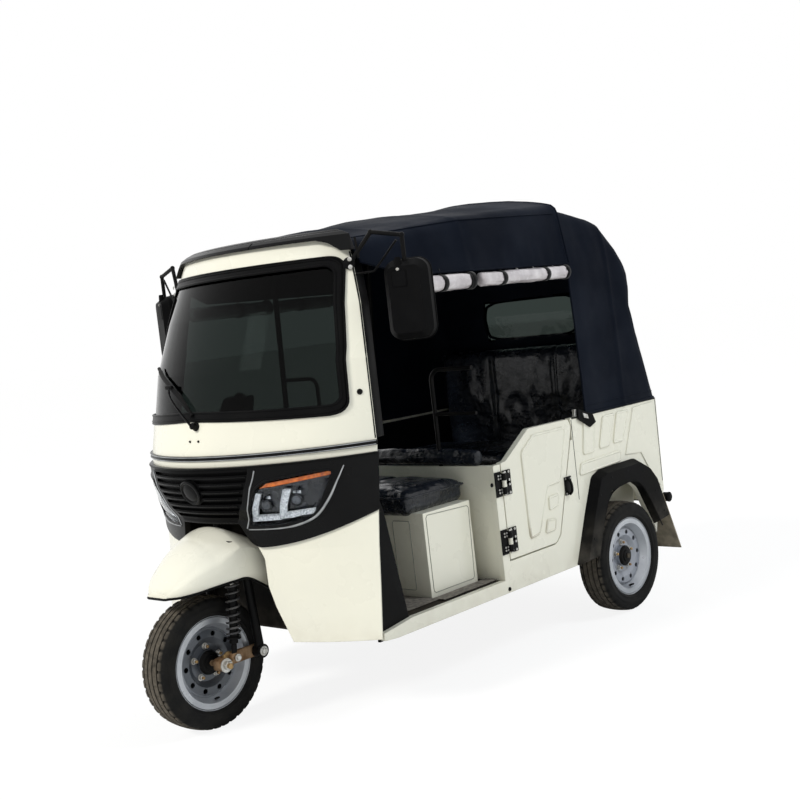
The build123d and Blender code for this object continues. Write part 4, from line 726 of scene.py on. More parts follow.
# ---------------------------------------------------------------- floor
floor_shape = Shape()
floor_shape.plate([(-60, -60, -0.02), (60, -60, -0.02), (60, 60, -0.02), (-60, 60, -0.02)], (0, 0, 1), 0.02)
floor_mat = bpy.data.materials.new("floor_white")
floor_mat.use_nodes = True
tree = floor_mat.node_tree
tree.nodes.clear()
diffuse = add_node(tree, "BsdfDiffuse", {0: (0.80, 0.80, 0.79, 1)})
glow = add_node(tree, "Emission", {0: (1, 1, 1, 1), 1: 1.07})
path = add_node(tree, "LightPath")
share = add_node(tree, "Math", {1: 0.82}, "MULTIPLY")
tree.links.new(path.outputs["Is Camera Ray"], share.inputs[0])
mixed = add_node(tree, "MixShader")
for place, socket in enumerate((share.outputs[0], diffuse.outputs[0], glow.outputs[0])):
    tree.links.new(socket, mixed.inputs[place])
tree.links.new(mixed.outputs[0], add_node(tree, "OutputMaterial").inputs[0])
floor_mesh = bpy.data.meshes.new("floor")
floor_mesh.from_pydata([tuple(v) for v in floor_shape.verts], [], floor_shape.faces)
floor_mesh.materials.append(floor_mat)
floor = bpy.data.objects.new("floor", floor_mesh)
scene.collection.objects.link(floor)


# ---------------------------------------------------------------- wheels
WHEEL_Z, TRACK_X, WHEELBASE = 0.245, 0.589, 1.910
WHEELS = (
    ("front", 0.0, 0.0, 1, "front_wheel", "front_tyre"),
    ("rear_left", TRACK_X, WHEELBASE, 1, "rear_wheel_left", "rear_left_tyre"),
    ("rear_right", -TRACK_X, WHEELBASE, -1, "rear_wheel_right", "rear_right_tyre"),
)
GROOVES = (-0.0375, -0.0125, 0.0125, 0.0375)


def tyre_profile():
    """(across, radius, tread share) from bead to bead."""
    side = [(0.0500, 0.1535), (0.0505, 0.1690), (0.0560, 0.1720), (0.0600, 0.1765), (0.0632, 0.1820), (0.0655, 0.1835),
            (
                0.0655, 0.1860,
            ), (0.0646, 0.1880), (0.0662, 0.1950), (0.0672, 0.2030), (0.0675, 0.2080), (0.0670, 0.2100),
            (
                0.0662, 0.2105,
            ), (0.0658, 0.2150), (0.0648, 0.2210), (0.0636, 0.2262), (0.0620, 0.2300), (0.0596, 0.2338),
            (0.0566, 0.2370)]
    points = [(-x, r, 0.0) for x, r in side]
    crown = []
    stops = [-0.0520]
    for g in GROOVES:
        stops += [g - 0.0034, g - 0.0024, g, g + 0.0024, g + 0.0034]
        if g != GROOVES[-1]:
            middle = g + 0.0125
            stops += [middle - 0.005, middle, middle + 0.005]
    stops.append(0.0520)
    for x in stops:
        r = 0.2450 - 0.0042 * (x / 0.0520) ** 2
        nearest = min(abs(x - g) for g in GROOVES)
        if nearest < 0.003:
            crown.append((x, r - 0.0068, 0.0))
        else:
            crown.append((x, r, 1.0))
    points += crown
    points += [(x, r, 0.0) for x, r in reversed(side)]
    return points


def make_tyre(name, x, y, body, node):
    """Tread, shoulder blocks and sidewalls in one closed skin."""
    profile = tyre_profile()
    count = len(profile)
    turns = 320
    centre = P(x, y, WHEEL_Z)
    verts, faces = [], []
    for k in range(turns):
        a = 2 * math.pi * k / turns
        beat = k % 8
        for across, radius, tread in profile:
            r = radius
            outer = abs(across)
            if tread and outer > 0.040 and beat in (0, 1):
                r -= 0.0042
            elif tread and 0.0165 < outer < 0.0340 and (k + 4) % 8 == 0:
                r -= 0.0030
            elif not tread and 0.0560 < outer < 0.0600 and radius > 0.23 and beat in (0, 1):
                r -= 0.0034
            verts.append(centre + Vector((across, math.cos(a) * r, math.sin(a) * r)))
    for k in range(turns):
        m = (k + 1) % turns
        for i in range(count - 1):
            faces.append([k * count + i, k * count + i + 1, m * count + i + 1, m * count + i])
        faces.append([k * count + count - 1, k * count, m * count, m * count + count - 1])
    tyre = Shape()
    tyre.add(verts, faces)
    return tyre.make(f"{name}_tyre_tread", body, tyre_rubber, slot="tyre", smooth=38, replaces=(node,), origin=centre)


def rim_finish(name, x, y):
    """Silver barrel and flange over a dark disc, split by the distance from the axle."""
    mat = material(
        f"rim_{name}", (0.50, 0.52, 0.55), 0.26, metal=0.5, tint=(0.36, 0.38, 0.41), tint_scale=9.0,
        rough_to=0.40, grain=[(900.0, 0.00003, 2.0, None)], coat=0.4, coat_rough=0.12, soften=0.003,
    )
    tree = mat.node_tree
    colour = tree.nodes["Principled BSDF"].inputs["Base Color"]
    before = colour.links[0].from_socket
    band = axle_band(tree, 0.1195, 0.1225, P(x, y, WHEEL_Z))[1]
    disc = (0.085, 0.095, 0.11) if name == "front" else (0.30, 0.32, 0.36)
    tree.links.new(add_mix(tree, disc, before, band), colour)
    return mat


def make_hub(name, x, y, side, body):
    """Hub cap, wheel nuts, rolled rim edges and valve."""
    hub = Shape()
    axle = Vector((side, 0, 0))
    centre = P(x, y, WHEEL_Z)
    hub.turned(
        centre + axle * 0.026, axle,
        [
            (0, 0.0455), (0.003, 0.0455), (0.006, 0.042), (0.010, 0.040), (0.012, 0.034), (0.012, 0.028),
            (0.016, 0.027), (0.018, 0.018),
        ],
        40, 1,
    )
    for k in range(5):
        a = math.radians(18 + 72 * k)
        spot = centre + Vector((side * 0.011, math.cos(a) * 0.060, math.sin(a) * 0.060))
        hub.turned(spot, axle, [(0.0, 0.0125), (0.003, 0.0125), (0.0034, 0.0105)], 18, 0)
        hub.turned(spot, axle, [(0.0034, 0.0098), (0.013, 0.0098), (0.0145, 0.0080)], 6, 0)
        hub.turned(spot, axle, [(0.0145, 0.0058), (0.021, 0.0056), (0.022, 0.0045)], 14, 2)
    for radius, proud in ((0.151, 0.0555), (0.1690, 0.0562)):
        hub.turned(
            centre, axle,
            [
                (proud - 0.004, radius), (proud, radius + 0.0012), (proud + 0.001, radius + 0.0030),
                (proud - 0.0005, radius + 0.0046), (proud - 0.004, radius + 0.0046),
            ],
            96, 3, hoop=True,
        )
    hub.turned(centre - axle * 0.030, axle, [(0.0, 0.131), (0.004, 0.133), (0.010, 0.133), (0.010, 0.050)], 60, 1)
    spot = centre + Vector((side * 0.034, 0.0, -0.138))
    hub.tube(
        [spot, spot + Vector((side * 0.012, 0, 0.006)), spot + Vector((side * 0.026, 0, 0.010))],
        [0.0045, 0.0045, 0.0036], 10, 1,
    )
    hub.make(
        f"{name}_hub_detail", body, [zinc, black_steel, brass, rim_paint], slot="silver_paint", smooth=35,
        origin=centre,
    )


for name, x, y, side, body, node in WHEELS:
    make_tyre(name, x, y, body, node)
    make_hub(name, x, y, side, body)
    rim_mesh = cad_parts[node.replace("tyre", "rim")].data
    rim_mesh.materials.clear()
    rim_mesh.materials.append(rim_finish(name, x, y))


# ---------------------------------------------------------------- front shocks and axle ends
def rake_y(z):
    """Station of the raked steering axis at a height."""
    return -0.060 + z * math.tan(math.radians(15))


for name, side in (("left", 1), ("right", -1)):
    shock = Shape()
    foot, head = P(side * 0.118, 0.048, 0.261), P(side * 0.118, 0.092, 0.638)
    up = (head - foot).normalized()
    wide = Vector((side, 0, 0))
    shock.turned(foot - wide * 0.014, wide, [(0, 0.0125), (0.001, 0.0165), (0.027, 0.0165), (0.028, 0.0125)], 28, 2)
    shock.turned(foot, up, [(0.008, 0.010), (0.050, 0.010), (0.052, 0.016), (0.066, 0.016), (0.068, 0.0275),
                            (0.073, 0.0275), (0.074, 0.020), (0.078, 0.0155), (0.240, 0.0155),
                                (0.242, 0.0175), (0.262, 0.0175)], 30, 0)
    shock.turned(foot, up, [(0.262, 0.0075), (0.345, 0.0075)], 20, 1)
    shock.turned(
        foot, up, [(0.330, 0.019), (0.334, 0.0285), (0.341, 0.0285), (0.345, 0.022), (0.362, 0.018), (0.372, 0.012)],
        30, 0,
    )
    u = up.orthogonal().normalized()
    w = up.cross(u)
    turns, first, last = 11, 0.076, 0.328
    coil = []
    for k in range(turns * 16 + 1):
        a = 2 * math.pi * k / 16
        t = k / (turns * 16)
        eased = t + 0.035 * math.sin(2 * math.pi * t) * -1
        coil.append(foot + up * (first + (last - first) * eased) + (u * math.cos(a) + w * math.sin(a)) * 0.0238)
    shock.tube(coil, 0.0040, 8, 3)
    shock.make(f"front_shock_{name}", "steering", [black_steel, zinc, rusty_steel, material(
        f"spring_paint_{name}", (0.030, 0.030, 0.032), 0.28, tint=(0.075, 0.07, 0.065), tint_scale=30.0,
        rough_to=0.5, grain=[(500.0, 0.00006, 2.0, None)], coat=0.4)], slot="black_steel", smooth=40,
        replaces=("front_shocks",) if side == 1 else ())
    ends = Shape()
    axle_end = P(side * 0.128, 0, 0.245)
    ends.turned(axle_end, wide, [(-0.002, 0.026), (0.002, 0.026), (0.003, 0.023)], 30, 0)
    ends.turned(axle_end, wide, [(0.003, 0.0175), (0.015, 0.0175), (0.018, 0.0150)], 6, 0)
    ends.turned(axle_end, wide, [(0.018, 0.0105), (0.027, 0.0105), (0.028, 0.0085)], 20, 1)
    ends.bolt(P(side * 0.1375, 0.172, 0.251), wide, 0.0125, 0, 0.012)
    ends.bolt(P(side * 0.1395, 0.048, 0.261), wide, 0.0095, 0, 0.010)
    clevis = [(0.008, 0.0), (0.010, 0.030), (0.030, 0.040), (0.060, 0.034), (0.064, 0.008), (0.048, -0.006)]
    ends.plate([P(side * 0.097, a, 0.245 + b) for a, b in clevis], wide, 0.008, 1)
    ends.make(f"axle_ends_{name}", "steering", [zinc, brass], slot="rusty_steel", smooth=35)


# ---------------------------------------------------------------- headlamps
LAMP = rounded(
    [
        (0.205, 0.735, 0.014), (0.300, 0.731, 0), (0.432, 0.748, 0.026), (0.476, 0.795, 0), (0.530, 0.922, 0.014),
        (0.463, 0.920, 0), (0.330, 0.904, 0), (0.292, 0.880, 0.020), (0.245, 0.813, 0),
    ]
)
lamp_dark = material(
    "lamp_dark", (0.012, 0.013, 0.016), 0.12, tint=(0.035, 0.038, 0.045), tint_scale=25.0, coat=0.6,
    grain=[(60.0, 0.0002, 1.0, None)],
)
lamp_eye = material(
    "lamp_eye", (0.05, 0.055, 0.065), 0.05, tint=(0.12, 0.13, 0.15), tint_scale=20.0, coat=0.8, specular=0.6,
    grain=[(40.0, 0.0002, 1.0, None)],
)
for name, flip in (("left", 1), ("right", -1)):
    def F(points):
        return [(flip * x, z) for x, z in points]

    tray = Shape()
    cx, cz = 0.362, 0.826
    rows = []
    for inset, depth in ((0.0, -0.0065), (0.004, -0.012), (0.012, -0.036), (0.10, -0.040)):
        shrunk = [(x + (cx - x) * inset / 0.14, z + (cz - z) * inset / 0.10 * 0.8) for x, z in LAMP]
        rows.append([skin(MASK, flip * p.x, p.z, depth) for p in spaced([(x, 0, z) for x, z in shrunk], 72, True)])
    middle = skin(MASK, flip * cx, cz, -0.041)
    tray.grid(rows, 0, closed=True)
    base = len(tray.verts) - 72
    tray.verts.append(middle)
    for k in range(72):
        tray.faces.append([base + k, base + (k + 1) % 72, len(tray.verts) - 1])
        tray.finish.append(0)
    tray.make(
        f"lamp_tray_{name}", "body", lamp_dark, slot="black_plastic", smooth=30,
        replaces=("headlamp_housings",) if flip == 1 else (),
    )
    guides = Shape()
    for quad in (
        [(0.219, 0.752), (0.240, 0.752), (0.300, 0.852), (0.284, 0.856)],
        [(0.330, 0.756), (0.352, 0.757), (0.403, 0.862), (0.382, 0.864)],
        [(0.218, 0.748), (0.332, 0.752), (0.334, 0.764), (0.228, 0.762)],
        [(0.336, 0.755), (0.446, 0.763), (0.456, 0.781), (0.340, 0.769)],
    ):
        skin_quad(guides, MASK, F(quad), -0.0125, 0.012, 18, 5, 0)
    for quad in (
        [(0.216, 0.750), (0.219, 0.750), (0.286, 0.857), (0.283, 0.857)],
        [(0.326, 0.754), (0.329, 0.754), (0.382, 0.866), (0.379, 0.866)],
    ):
        skin_quad(guides, MASK, F(quad), -0.0095, 0.010, 10, 2, 1)
    skin_quad(
        guides, MASK, F([(0.303, 0.874), (0.519, 0.903), (0.523, 0.917), (0.330, 0.893)]), -0.0095, 0.014, 24, 4, 2,
    )
    skin_quad(
        guides, MASK, F([(0.292, 0.862), (0.512, 0.893), (0.518, 0.902), (0.300, 0.872)]), -0.0080, 0.020, 20, 2, 3,
    )
    for lens_x, lens_z in ((0.292, 0.800), (0.404, 0.815)):
        spot, out_way = skin(MASK, flip * lens_x, lens_z, -0.034), skin_out(MASK, flip * lens_x, lens_z)
        guides.turned(spot, out_way, [(0.0, 0.024), (0.008, 0.024), (0.010, 0.022), (0.006, 0.019)], 36, 3)
        guides.turned(spot, out_way, [(0.004, 0.018), (0.009, 0.015), (0.012, 0.009), (0.013, 0.0)], 36, 4)
        guides.box(spot + out_way * 0.003 + Vector((0, 0, 0.030)), (0.060, 0.006, 0.012), None, 1, 0.002)
    guides.make(
        f"lamp_guides_{name}", "body", [light_guide, reflector, amber, lamp_dark, lamp_eye], slot="lamp_lens",
        smooth=40,
    )
    bezel = Shape()
    bezel.tube(skin_line(MASK, F(LAMP), 0.0005, 140, 0, True), 0.0042, 8, 0, closed=True)
    stripe = [
        (0.551, 0.931), (0.534, 0.881), (0.499, 0.807), (0.452, 0.756), (0.400, 0.734), (0.346, 0.724),
        (0.270, 0.722), (0.202, 0.723),
    ]
    bezel.tube(
        skin_line(MASK, F(stripe), 0.0012, 70),
        [0.0022 + 0.0030 * math.sin(math.pi * min(1.0, 1.25 * k / 69)) for k in range(70)], 8, 1,
    )
    inner = [(0.196, 0.728), (0.246, 0.826), (0.288, 0.908), (0.300, 0.944)]
    bezel.tube(skin_line(MASK, F(inner), 0.0010, 40), 0.0028, 8, 1)
    bezel.make(f"lamp_bezel_{name}", "body", [mask_plastic, silver_line], slot="black_plastic", smooth=50)

emblem = Shape()
spot, out_way = skin(MASK, 0, 0.872), skin_out(MASK, 0, 0.872)
emblem.turned(
    spot, out_way,
    [
        (-0.004, 0.050), (0.006, 0.050), (0.009, 0.047), (0.009, 0.042), (0.005, 0.039), (0.005, 0.036),
        (0.009, 0.030), (0.011, 0.016), (0.0115, 0.0),
    ],
    64, 0,
)
emblem.make("grille_emblem", "body", mask_plastic, slot="black_plastic", smooth=30)
mesh_lines = Shape()
for step in range(6):
    z = 0.7885 + 0.027 * step
    half = 0.160 + (z - 0.75) * 0.60
    for x0, x1 in ((-half, -0.058), (0.058, half)) if abs(z - 0.872) < 0.05 else ((-half, half),):
        mesh_lines.tube(skin_line(MASK, [(x0, z), ((x0 + x1) / 2, z), (x1, z)], 0.0010, 24), 0.0034, 8, 0, flat=0.8)
mesh_lines.make("grille_ribs", "body", mask_plastic, slot="black_plastic", smooth=50)


# ---------------------------------------------------------------- windscreen, wiper, cab seams
bead = Shape()
GLASS = rounded(
    [
        (-0.541, 1.141, 0.034), (0.0, 1.161, 0), (0.541, 1.141, 0.034), (0.521, 1.343, 0), (0.468, 1.641, 0.048),
        (-0.468, 1.641, 0.048), (-0.521, 1.343, 0),
    ]
)
GASKET = rounded(
    [
        (-0.557, 1.110, 0.045), (0.0, 1.133, 0), (0.557, 1.110, 0.045), (0.538, 1.343, 0), (0.488, 1.670, 0.060),
        (-0.488, 1.670, 0.060), (-0.538, 1.343, 0),
    ]
)
bead.tube(skin_line(CAB_UPPER, GLASS, 0.0050, 260, 0, True), 0.0050, 10, 0, closed=True)
bead.tube(skin_line(CAB_UPPER, GASKET, 0.0030, 260, 0, True), 0.0052, 10, 0, closed=True)
ridge = [(x * 0.985, 1.385 + (z - 1.385) * 0.972) for x, z in GASKET]
bead.tube(skin_line(CAB_UPPER, ridge, 0.0068, 260, 0, True), 0.0026, 8, 0, closed=True)
bead.make("gasket_bead", "body", gasket_rubber, slot="rubber", smooth=60)

wiper = Shape()
blade = bend_line(
    [
        skin(CAB_UPPER, x, z, 0.012) for x, z in (
            (-0.300, 1.330), (-0.207, 1.292), (-0.120, 1.252), (-0.040, 1.205), (0.020, 1.150),
        )
    ],
    40,
)
wiper.tube(blade, [0.0045] * 4 + [0.0062] * 32 + [0.0045] * 4, 8, 0, flat=1.4)
wiper.tube([p + Vector((0, 0.006, 0)) for p in blade], 0.0028, 6, 1)
pivot, pivot_out = skin(CAB_UPPER, 0.033, 1.112, 0.006), skin_out(CAB_UPPER, 0.033, 1.112)
arm = [
    pivot + pivot_out * 0.018, skin(CAB_UPPER, 0.006, 1.134, 0.028), skin(CAB_UPPER, -0.060, 1.188, 0.034),
    skin(CAB_UPPER, -0.110, 1.226, 0.030), skin(CAB_UPPER, -0.135, 1.256, 0.019),
]
wiper.tube(bend_line(arm, 24), [0.0085 - 0.0045 * k / 23 for k in range(24)], 8, 0, flat=0.6)
wiper.turned(
    pivot - pivot_out * 0.010, pivot_out,
    [(0, 0.017), (0.008, 0.017), (0.012, 0.013), (0.026, 0.012), (0.030, 0.008), (0.031, 0.0)], 28, 0,
)
wiper.box(skin(CAB_UPPER, -0.135, 1.257, 0.018), (0.040, 0.012, 0.014), None, 0, 0.003)
for x in (0.004, 0.051):
    spot, way = skin(CAB_UPPER, x, 1.058), skin_out(CAB_UPPER, x, 1.058)
    wiper.turned(spot, way, [(-0.002, 0.0045), (0.003, 0.0045), (0.005, 0.003), (0.0055, 0.0)], 16, 0)
for side in (1, -1):
    spot, way = skin(CAB_UPPER, side * 0.577, 1.179), skin_out(CAB_UPPER, side * 0.577, 1.179)
    wiper.turned(
        spot, way, [(-0.004, 0.0105), (0.0018, 0.0105), (0.0030, 0.0085), (0.0010, 0.0070), (0.0012, 0.0)], 24, 0,
    )
wiper.make("wiper_and_fittings", "body", [black_steel, gasket_rubber], slot="black_steel", smooth=40)

trim = Shape()
for z, proud, r in ((0.9885, 0.0052, 0.0016), (1.0015, 0.0052, 0.0016)):
    trim.tube(skin_line(CAB_LOWER, [(-0.612, z), (0.0, z), (0.612, z)], proud, 90), r, 6, 0)
trim.tube(skin_line(MASK, [(-0.616, 0.9575), (0, 0.9575), (0.616, 0.9575)], 0.0012, 90), 0.0026, 8, 1)
seam = [skin(VISOR, 0.150, z, 0.0006) for z in (1.739, 1.745, 1.752, 1.760)]
trim.tube(seam, 0.0016, 6, 1)
trim.make("cab_trim_lines", "body", [silver_line, gasket_rubber], slot="black_plastic", smooth=50)


# ---------------------------------------------------------------- canvas roof
ROOF = ((0.5125, 1.776, 0.496, 1.718, 0.540, 1.640), (0.700, 1.810, 0.548, 1.742, 0.600, 1.576),
        (1.050, 1.848, 0.562, 1.786, 0.606, 1.573), (1.400, 1.875, 0.565, 1.809, 0.606, 1.571),
        (1.722, 1.898, 0.566, 1.824, 0.606, 1.568))
BOWS = (0.532, 1.050, 1.690)


def roof_line(y):
    """Half of one bow from hem to crown, with a rounded shoulder."""
    _, crown, sx, sz, hx, hz = table_at(ROOF, y)
    corner = Vector((sx, 0, sz))
    hem = Vector((hx, 0, hz))
    rise = crown - sz
    top = []
    for k in range(13):
        x = sx * (1 - k / 12)
        top.append(Vector((x, 0, crown - rise * (x / sx) ** 2)))
    into = (hem - corner).normalized() * 0.040
    along = (top[1] - top[0]).normalized() * 0.040
    start, stop = corner + into, corner + along
    bend = [start.lerp(corner, t).lerp(corner.lerp(stop, t), t) for t in (0.0, 0.2, 0.4, 0.6, 0.8, 1.0)]
    rest = [p for p in top if p.x < stop.x - 0.01]
    return [hem.lerp(start, k / 5) for k in range(5)] + bend + rest


roof = Shape()
rows = []
stations = [0.5125 + (1.722 - 0.5125) * k / 96 for k in range(97)]
for y in stations:
    half = spaced(roof_line(y), 34)
    full = half + [Vector((-p.x, 0, p.z)) for p in reversed(half[:-1])]
    gap = min(abs(y - b) for b in BOWS)
    between = min(1.0, gap / 0.20)
    row = []
    for i, p in enumerate(full):
        across = i / (len(full) - 1)
        centre = math.sin(math.pi * across)
        point = P(p.x, y, p.z)
        out = Vector((p.x * 0.35, 0, 0.5)).normalized() if abs(p.x) < 0.5 else Vector(
            (math.copysign(1, p.x), 0, 0.35)
        ).normalized()
        sag = -0.0055 * between * centre
        fold = 0.0022 * wave(point, 5.5, 3.0) + 0.0011 * wave(point, 17.0, 9.0)
        low = max(0.0, 1 - abs((1.60 - p.z)) / 0.11) if p.z < 1.70 else 0.0
        fold += 0.0034 * low * wave((point.x, point.y * 3.2, point.z * 0.7), 6.5, 5.0)
        ridge = 0.0030 * math.exp(-((y - 0.700) / 0.012) ** 2) + 0.0026 * math.exp(-((y - 1.050) / 0.015) ** 2)
        ridge += 0.0042 * math.exp(-((y - 1.712) / 0.012) ** 2)
        row.append(point + out * (sag + fold + ridge))
    rows.append(row)
cloth(roof, rows, -0.0045)
roof_piece = roof.make("roof_canvas", "body", canvas, slot="canvas", smooth=70, replaces=("canopy_roof",))
welt = Shape()
for k, rr in ((0, 0.0034), (96, 0.0052)):
    welt.tube([p + Vector((0, 0.002, 0)) for p in rows[k]], rr, 8, 0)
for side in (0, -1):
    welt.tube([row[side] + Vector((0, 0, 0.002)) for row in rows], 0.0042, 8, 0)
for side in (1, -1):
    seam = []
    for k in range(4, 96, 2):
        i = 9 if side == 1 else len(rows[k]) - 10
        seam.append(rows[k][i] + (rows[k][i] - P(0, stations[k], 1.5)).normalized() * 0.0018)
    welt.tube(seam, 0.0022, 6, 0)
welt.make("roof_welts", "body", canvas, slot="canvas", smooth=60)

# ---------------------------------------------------------------- canvas hood
HOOD_TOP = (
    (1.706, 1.812, 1.866), (1.810, 1.796, 1.850), (1.910, 1.776, 1.824), (2.060, 1.750, 1.782), (2.200, 1.740, 1.77),
)
HOOD_BACK = ((0.912, 2.322), (1.230, 2.241), (1.357, 2.218), (1.440, 2.236), (1.500, 2.236), (1.560, 2.216),
             (1.615, 2.178), (1.660, 2.138), (1.700, 2.105), (1.730, 2.082), (1.752, 2.050))
HOOD_SIDE = (
    (0.912, 0.6235), (1.320, 0.6180), (1.540, 0.6080), (1.620, 0.6000), (1.700, 0.5870), (1.760, 0.5770),
    (1.830, 0.5680),
)
FRONT_Y = 1.7065
HOOD_SEAM_Y = 2.020
HOOD_HEM_Z = 0.912
WINDOW_HALF, WINDOW_LOW, WINDOW_HIGH = 0.275, 1.250, 1.440
EDGE_TUCK = 0.040  # how far the side walls bend in under the top


def hood_top(x, y):
    """Height of the hood's crowned top."""
    _, shoulder, crown = table_at(HOOD_TOP, y)
    return crown - (crown - shoulder) * (min(abs(x), 0.57) / 0.568) ** 2


def hood_ring(count, side_x, back_y, corner=0.085):
    """Plan outline from the front left edge round the back to the front right edge."""
    pts = [Vector((side_x, FRONT_Y, 0)), Vector((side_x, back_y - corner, 0))]
    for k in range(1, 9):
        a = math.pi / 2 * k / 8
        pts.append(Vector((side_x - corner + corner * math.cos(a), back_y - corner + corner * math.sin(a), 0)))
    half = pts + [Vector((0, back_y, 0))]
    full = half + [Vector((-p.x, p.y, 0)) for p in reversed(half[:-1])]
    return spaced(full, count)


hood = Shape()
around, levels, tops = 170, 74, 20
hood_rows = []
top_ring = hood_ring(around, 0.545, 2.052)
edge = [hood_top(p.x, p.y) - 0.006 for p in top_ring]
for j in range(levels + 1):
    w = j / levels
    row = []
    z_flat = HOOD_HEM_Z + (1.775 - HOOD_HEM_Z) * w
    ring = hood_ring(
        around, table_at(HOOD_SIDE, z_flat)[1], table_at(HOOD_BACK, min(z_flat, 1.752))[1], 0.070 + 0.03 * w,
    )
    for i, p in enumerate(ring):
        z = HOOD_HEM_Z + (edge[i] - HOOD_HEM_Z) * w
        x_here = table_at(HOOD_SIDE, z)[1]
        y_back = table_at(HOOD_BACK, min(z, 1.752))[1]
        fx = p.x * x_here / table_at(HOOD_SIDE, z_flat)[1]
        flat_back = table_at(HOOD_BACK, min(z_flat, 1.752))[1]
        fy = FRONT_Y + (p.y - FRONT_Y) * (y_back - FRONT_Y) / (flat_back - FRONT_Y)
        t = max(0.0, (z - (edge[i] - 0.050)) / 0.050)
        pull = EDGE_TUCK * (1 - math.sqrt(max(0.0, 1 - min(1.0, t) ** 2)))
        target = top_ring[i]
        mix = pull / EDGE_TUCK
        fx, fy = fx + (target.x - fx) * mix, fy + (target.y - fy) * mix
        point = P(fx, fy, z)
        out = Vector((fx * 1.6, max(0.0, fy - 1.95) * 1.6, 0.0))
        out = out.normalized() if out.length > 1e-6 else Vector((0, 1, 0))
        along = i / (around - 1) * 3.0
        hang = 0.0030 * wave((along, z * 0.35, 0.3), 7.0, 2.0) + 0.0016 * wave((along, z * 0.9, 0.8), 15.0, 6.0)
        hang += 0.0022 * wave((along * 1.2, z * 2.2, 0.2), 3.0, 8.0)
        seam_at = 0.0050 * math.exp(-((fy - HOOD_SEAM_Y) / 0.010) ** 2) * (1 if abs(fx) > 0.5 else 0)
        near_edge = min(1.0, w / 0.04)
        row.append(point + out * ((hang - 0.001) * near_edge + seam_at))
    hood_rows.append(row)
for j in range(1, tops + 1):
    q = 1 - j / tops
    row = []
    for i, p in enumerate(top_ring):
        x, y = p.x * q, FRONT_Y + (p.y - FRONT_Y) * q
        lift = min(1.0, (1 - q) / 0.06)
        z = hood_top(x, y) - 0.006 * (1 - lift)
        point = P(x, y, z)
        ripple = 0.0028 * wave(point, 5.0, 12.0) - 0.004 * math.sin(
            math.pi * min(1.0, (y - FRONT_Y) / 0.34)
        ) * (1 - (x / 0.56) ** 2)
        row.append(point + Vector((0, 0, ripple * lift)))
    hood_rows.append(row)


def hood_keep(i_row, j_col):
    """Leaves out the rear window's opening and the collapsed last ring."""
    mid = (hood_rows[i_row][j_col] + hood_rows[i_row + 1][j_col + 1]) / 2
    if i_row >= levels + tops - 1:
        return False
    return not (mid.y - AXLE_Y > 2.12 and abs(mid.x) < WINDOW_HALF and WINDOW_LOW < mid.z < WINDOW_HIGH)


cloth(hood, hood_rows, 0.0045, keep=hood_keep)
hood_piece = hood.make("hood_canvas", "body", canvas, slot="canvas", smooth=70, replaces=("rear_hood",))
hood_trim = Shape()
hood_trim.tube([p + Vector((0, 0, 0.004)) for p in hood_rows[0]], 0.0055, 8, 0)
hood_trim.tube([p + Vector((0, 0, 0.0)) for p in hood_rows[3]], 0.0022, 6, 0)
for k in (0, -1):
    hood_trim.tube([row[k] + Vector((0, 0.003, 0)) for row in hood_rows[: levels + 1]], 0.0045, 8, 0)
window = [(x, 0, z) for x, z in ((-0.278, 1.249), (0.278, 1.249), (0.278, 1.441), (-0.278, 1.441))]
frame_line = [P(p.x, table_at(HOOD_BACK, p.z)[1] + 0.001, p.z) for p in bend_loop(window, 0.12, 2, 90)]
hood_trim.tube(frame_line, 0.0075, 8, 0, closed=True)
hood_trim.make("hood_welts", "body", canvas, slot="canvas", smooth=60)
pane = Shape()


def pane_point(i, j):
    z = 1.243 + 0.204 * j / 14
    ripple = 0.0012 * wave((i * 0.3, j * 0.3, 0), 1.0, 4.0)
    return P(-0.285 + 0.57 * i / 40, table_at(HOOD_BACK, z)[1] - 0.006 + ripple, z)


cloth(pane, [[pane_point(i, j) for i in range(41)] for j in range(15)], 0.0012)
pane_piece = pane.make("rear_window_film", "body", film, slot="canvas", smooth=60)


